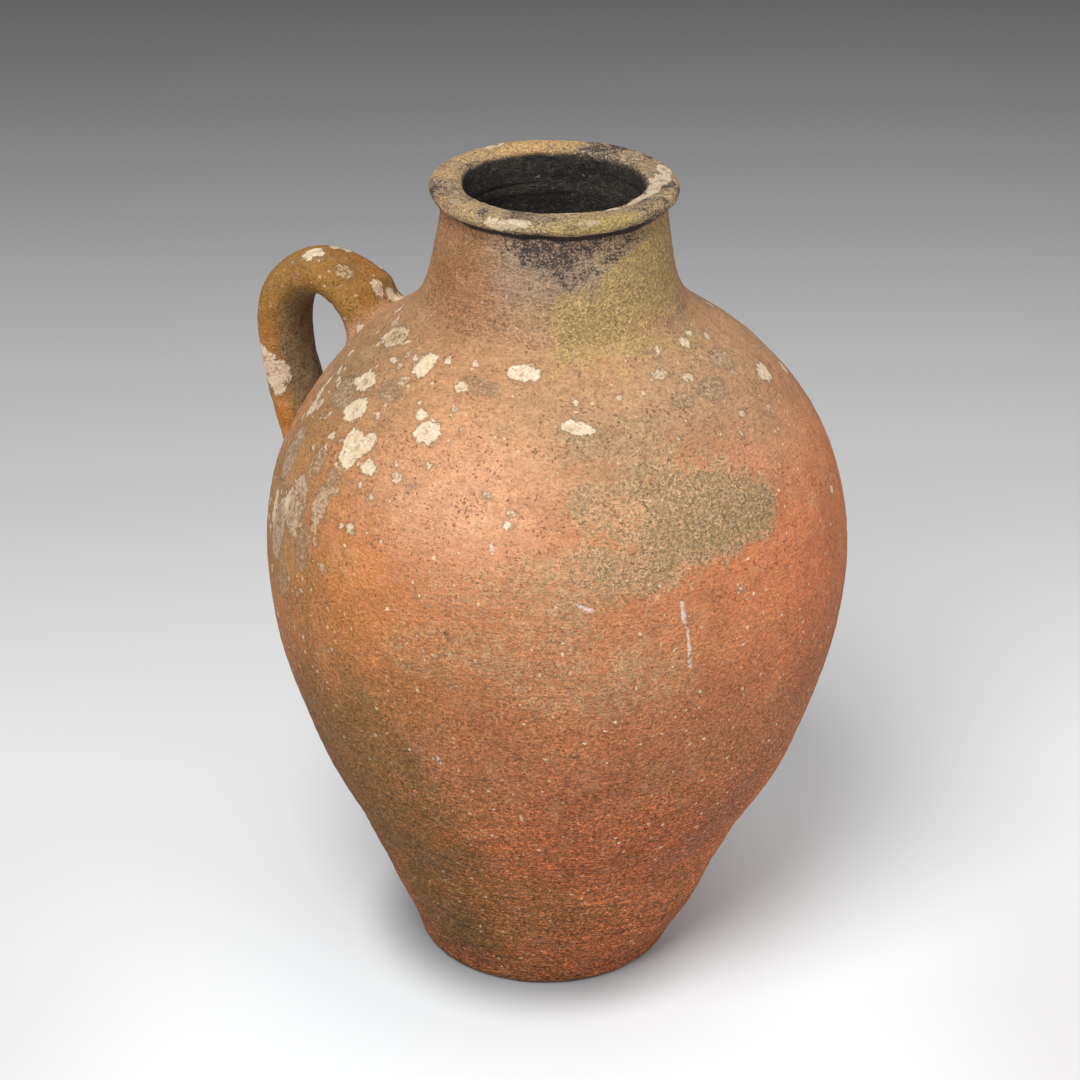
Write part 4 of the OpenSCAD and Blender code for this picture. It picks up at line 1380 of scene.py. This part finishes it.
# ------------------------------------------------------------------ floor and light
def make_floor():
    m = Nodes("studio_floor")
    pos = m.new("ShaderNodeTexCoord").outputs["Object"]
    s = m.split(pos)
    line = lambda a, b: m.math("ADD", m.math("MULTIPLY", s[0], a), m.math("MULTIPLY", s[1], b))
    depth = line(-math.sin(TURN), math.cos(TURN))  # away from the photograph's camera
    across = line(math.cos(TURN), math.sin(TURN))
    # painted light falloff: the floor's colour darkens from pale in front to dark grey far behind
    ramp = m.new("ShaderNodeValToRGB")
    m.put(ramp.inputs[0], m.remap(depth, -0.4, 3.0))
    e = ramp.color_ramp.elements
    e[0].position, e[0].color = 0.0, (0.86, 0.86, 0.86, 1)
    e[1].position, e[1].color = 1.0, (0.12, 0.12, 0.12, 1)
    for at, v in ((0.10, 0.85), (0.18, 0.78), (0.24, 0.68), (0.31, 0.57), (0.42, 0.48), (0.55, 0.34), (0.68, 0.24), (0.82, 0.17)):
        k = e.new(at)
        k.color = (v, v, v, 1)
    # a soft pool of light in front, and the close shade round the foot
    sq = lambda v: m.math("MULTIPLY", v, v)
    side = m.remap(m.math("ABSOLUTE", m.math("ADD", across, 0.02)), 0.17, 0.44, 0.0, 1.0, True)
    pool = m.math("SUBTRACT", 1.0, m.math("MULTIPLY", m.math("MULTIPLY", side, m.remap(depth, 0.25, -0.10)), 0.17))
    # painted light: the floor is a little brighter towards the right, where the jar's shadow falls
    pool = m.math("MULTIPLY", pool, m.remap(across, -0.55, 0.45, 0.97, 1.05))
    foot = m.math("SQRT", m.math("ADD", sq(m.math("ADD", across, -0.002)), sq(depth)))
    reach = m.remap(foot, 0.086, 0.146, 1.0, 0.0, True)
    deep = m.remap(m.math("ADD", across, depth), -0.06, 0.07, 0.55, 0.10)
    # the shadow's core is lifted a little
    core = m.math("ADD", sq(m.math("MULTIPLY", m.math("ADD", across, -0.17), 8.0)), sq(m.math("MULTIPLY", m.math("ADD", depth, -0.07), 6.5)))
    pool = m.math("MULTIPLY", pool, m.math("ADD", 1.0, m.math("MULTIPLY", m.math("EXPONENT", m.math("MULTIPLY", core, -1.0)), 0.19)))
    shade = m.math("MULTIPLY", pool, m.math("SUBTRACT", 1.0, m.math("MULTIPLY", reach, deep)))
    # painted cool tint near the foot, cancelling the warm light the jar bounces onto the floor
    grey = m.new("ShaderNodeCombineXYZ")
    m.put(grey.inputs[0], m.math("MULTIPLY", shade, m.remap(foot, 0.10, 0.45, 0.955, 1.0, True)))
    m.put(grey.inputs[1], shade)
    m.put(grey.inputs[2], m.math("MULTIPLY", shade, m.remap(foot, 0.10, 0.45, 1.03, 1.0, True)))
    bsdf = m.new("ShaderNodeBsdfPrincipled")
    m.put(bsdf.inputs["Base Color"], m.mix(1.0, ramp.outputs[0], grey.outputs[0], "MULTIPLY"))
    bsdf.inputs["Roughness"].default_value = 0.95
    bsdf.inputs["Specular IOR Level"].default_value = 0.0
    out = m.new("ShaderNodeOutputMaterial")
    m.t.links.new(bsdf.outputs[0], out.inputs[0])
    me = bpy.data.meshes.new("floor")
    me.from_pydata([(-9, -9, 0), (9, -9, 0), (9, 9, 0), (-9, 9, 0)], [], [(0, 1, 2, 3)])
    me.materials.append(m.mat)
    ob = bpy.data.objects.new("floor", me)
    bpy.context.scene.collection.objects.link(ob)


make_floor()


def area(name, azimuth, elevation, distance, size, power, colour=(1, 1, 1), aim=(0, 0, 0.3)):
    """A soft box. Azimuth is counted from 0 in front (-Y), round towards +X."""
    a, e = math.radians(azimuth), math.radians(elevation)
    way = Vector((math.sin(a) * math.cos(e), -math.cos(a) * math.cos(e), math.sin(e)))
    data = bpy.data.lights.new(name, "AREA")
    data.shape = "DISK"
    data.size = size
    data.energy = power
    data.color = colour
    ob = bpy.data.objects.new(name, data)
    ob.location = Vector(aim) + way * distance
    ob.rotation_euler = (-way).to_track_quat("-Z", "Y").to_euler()
    bpy.context.scene.collection.objects.link(ob)
    return ob


area("key", 28 - 24, 53, 4.5, 2.5, 184)
area("fill_right", 28 + 58, 22, 4.5, 2.8, 36)
area("top", 28, 82, 4.0, 3.0, 28)

world = bpy.data.worlds.new("world")
world.use_nodes = True
world.node_tree.nodes["Background"].inputs[0].default_value = (1, 1, 1, 1)
world.node_tree.nodes["Background"].inputs[1].default_value = 0.36
bpy.context.scene.world = world
view_set = bpy.context.scene.view_settings
view_set.view_transform = "Standard"
view_set.look = "None"
view_set.exposure = 0.0
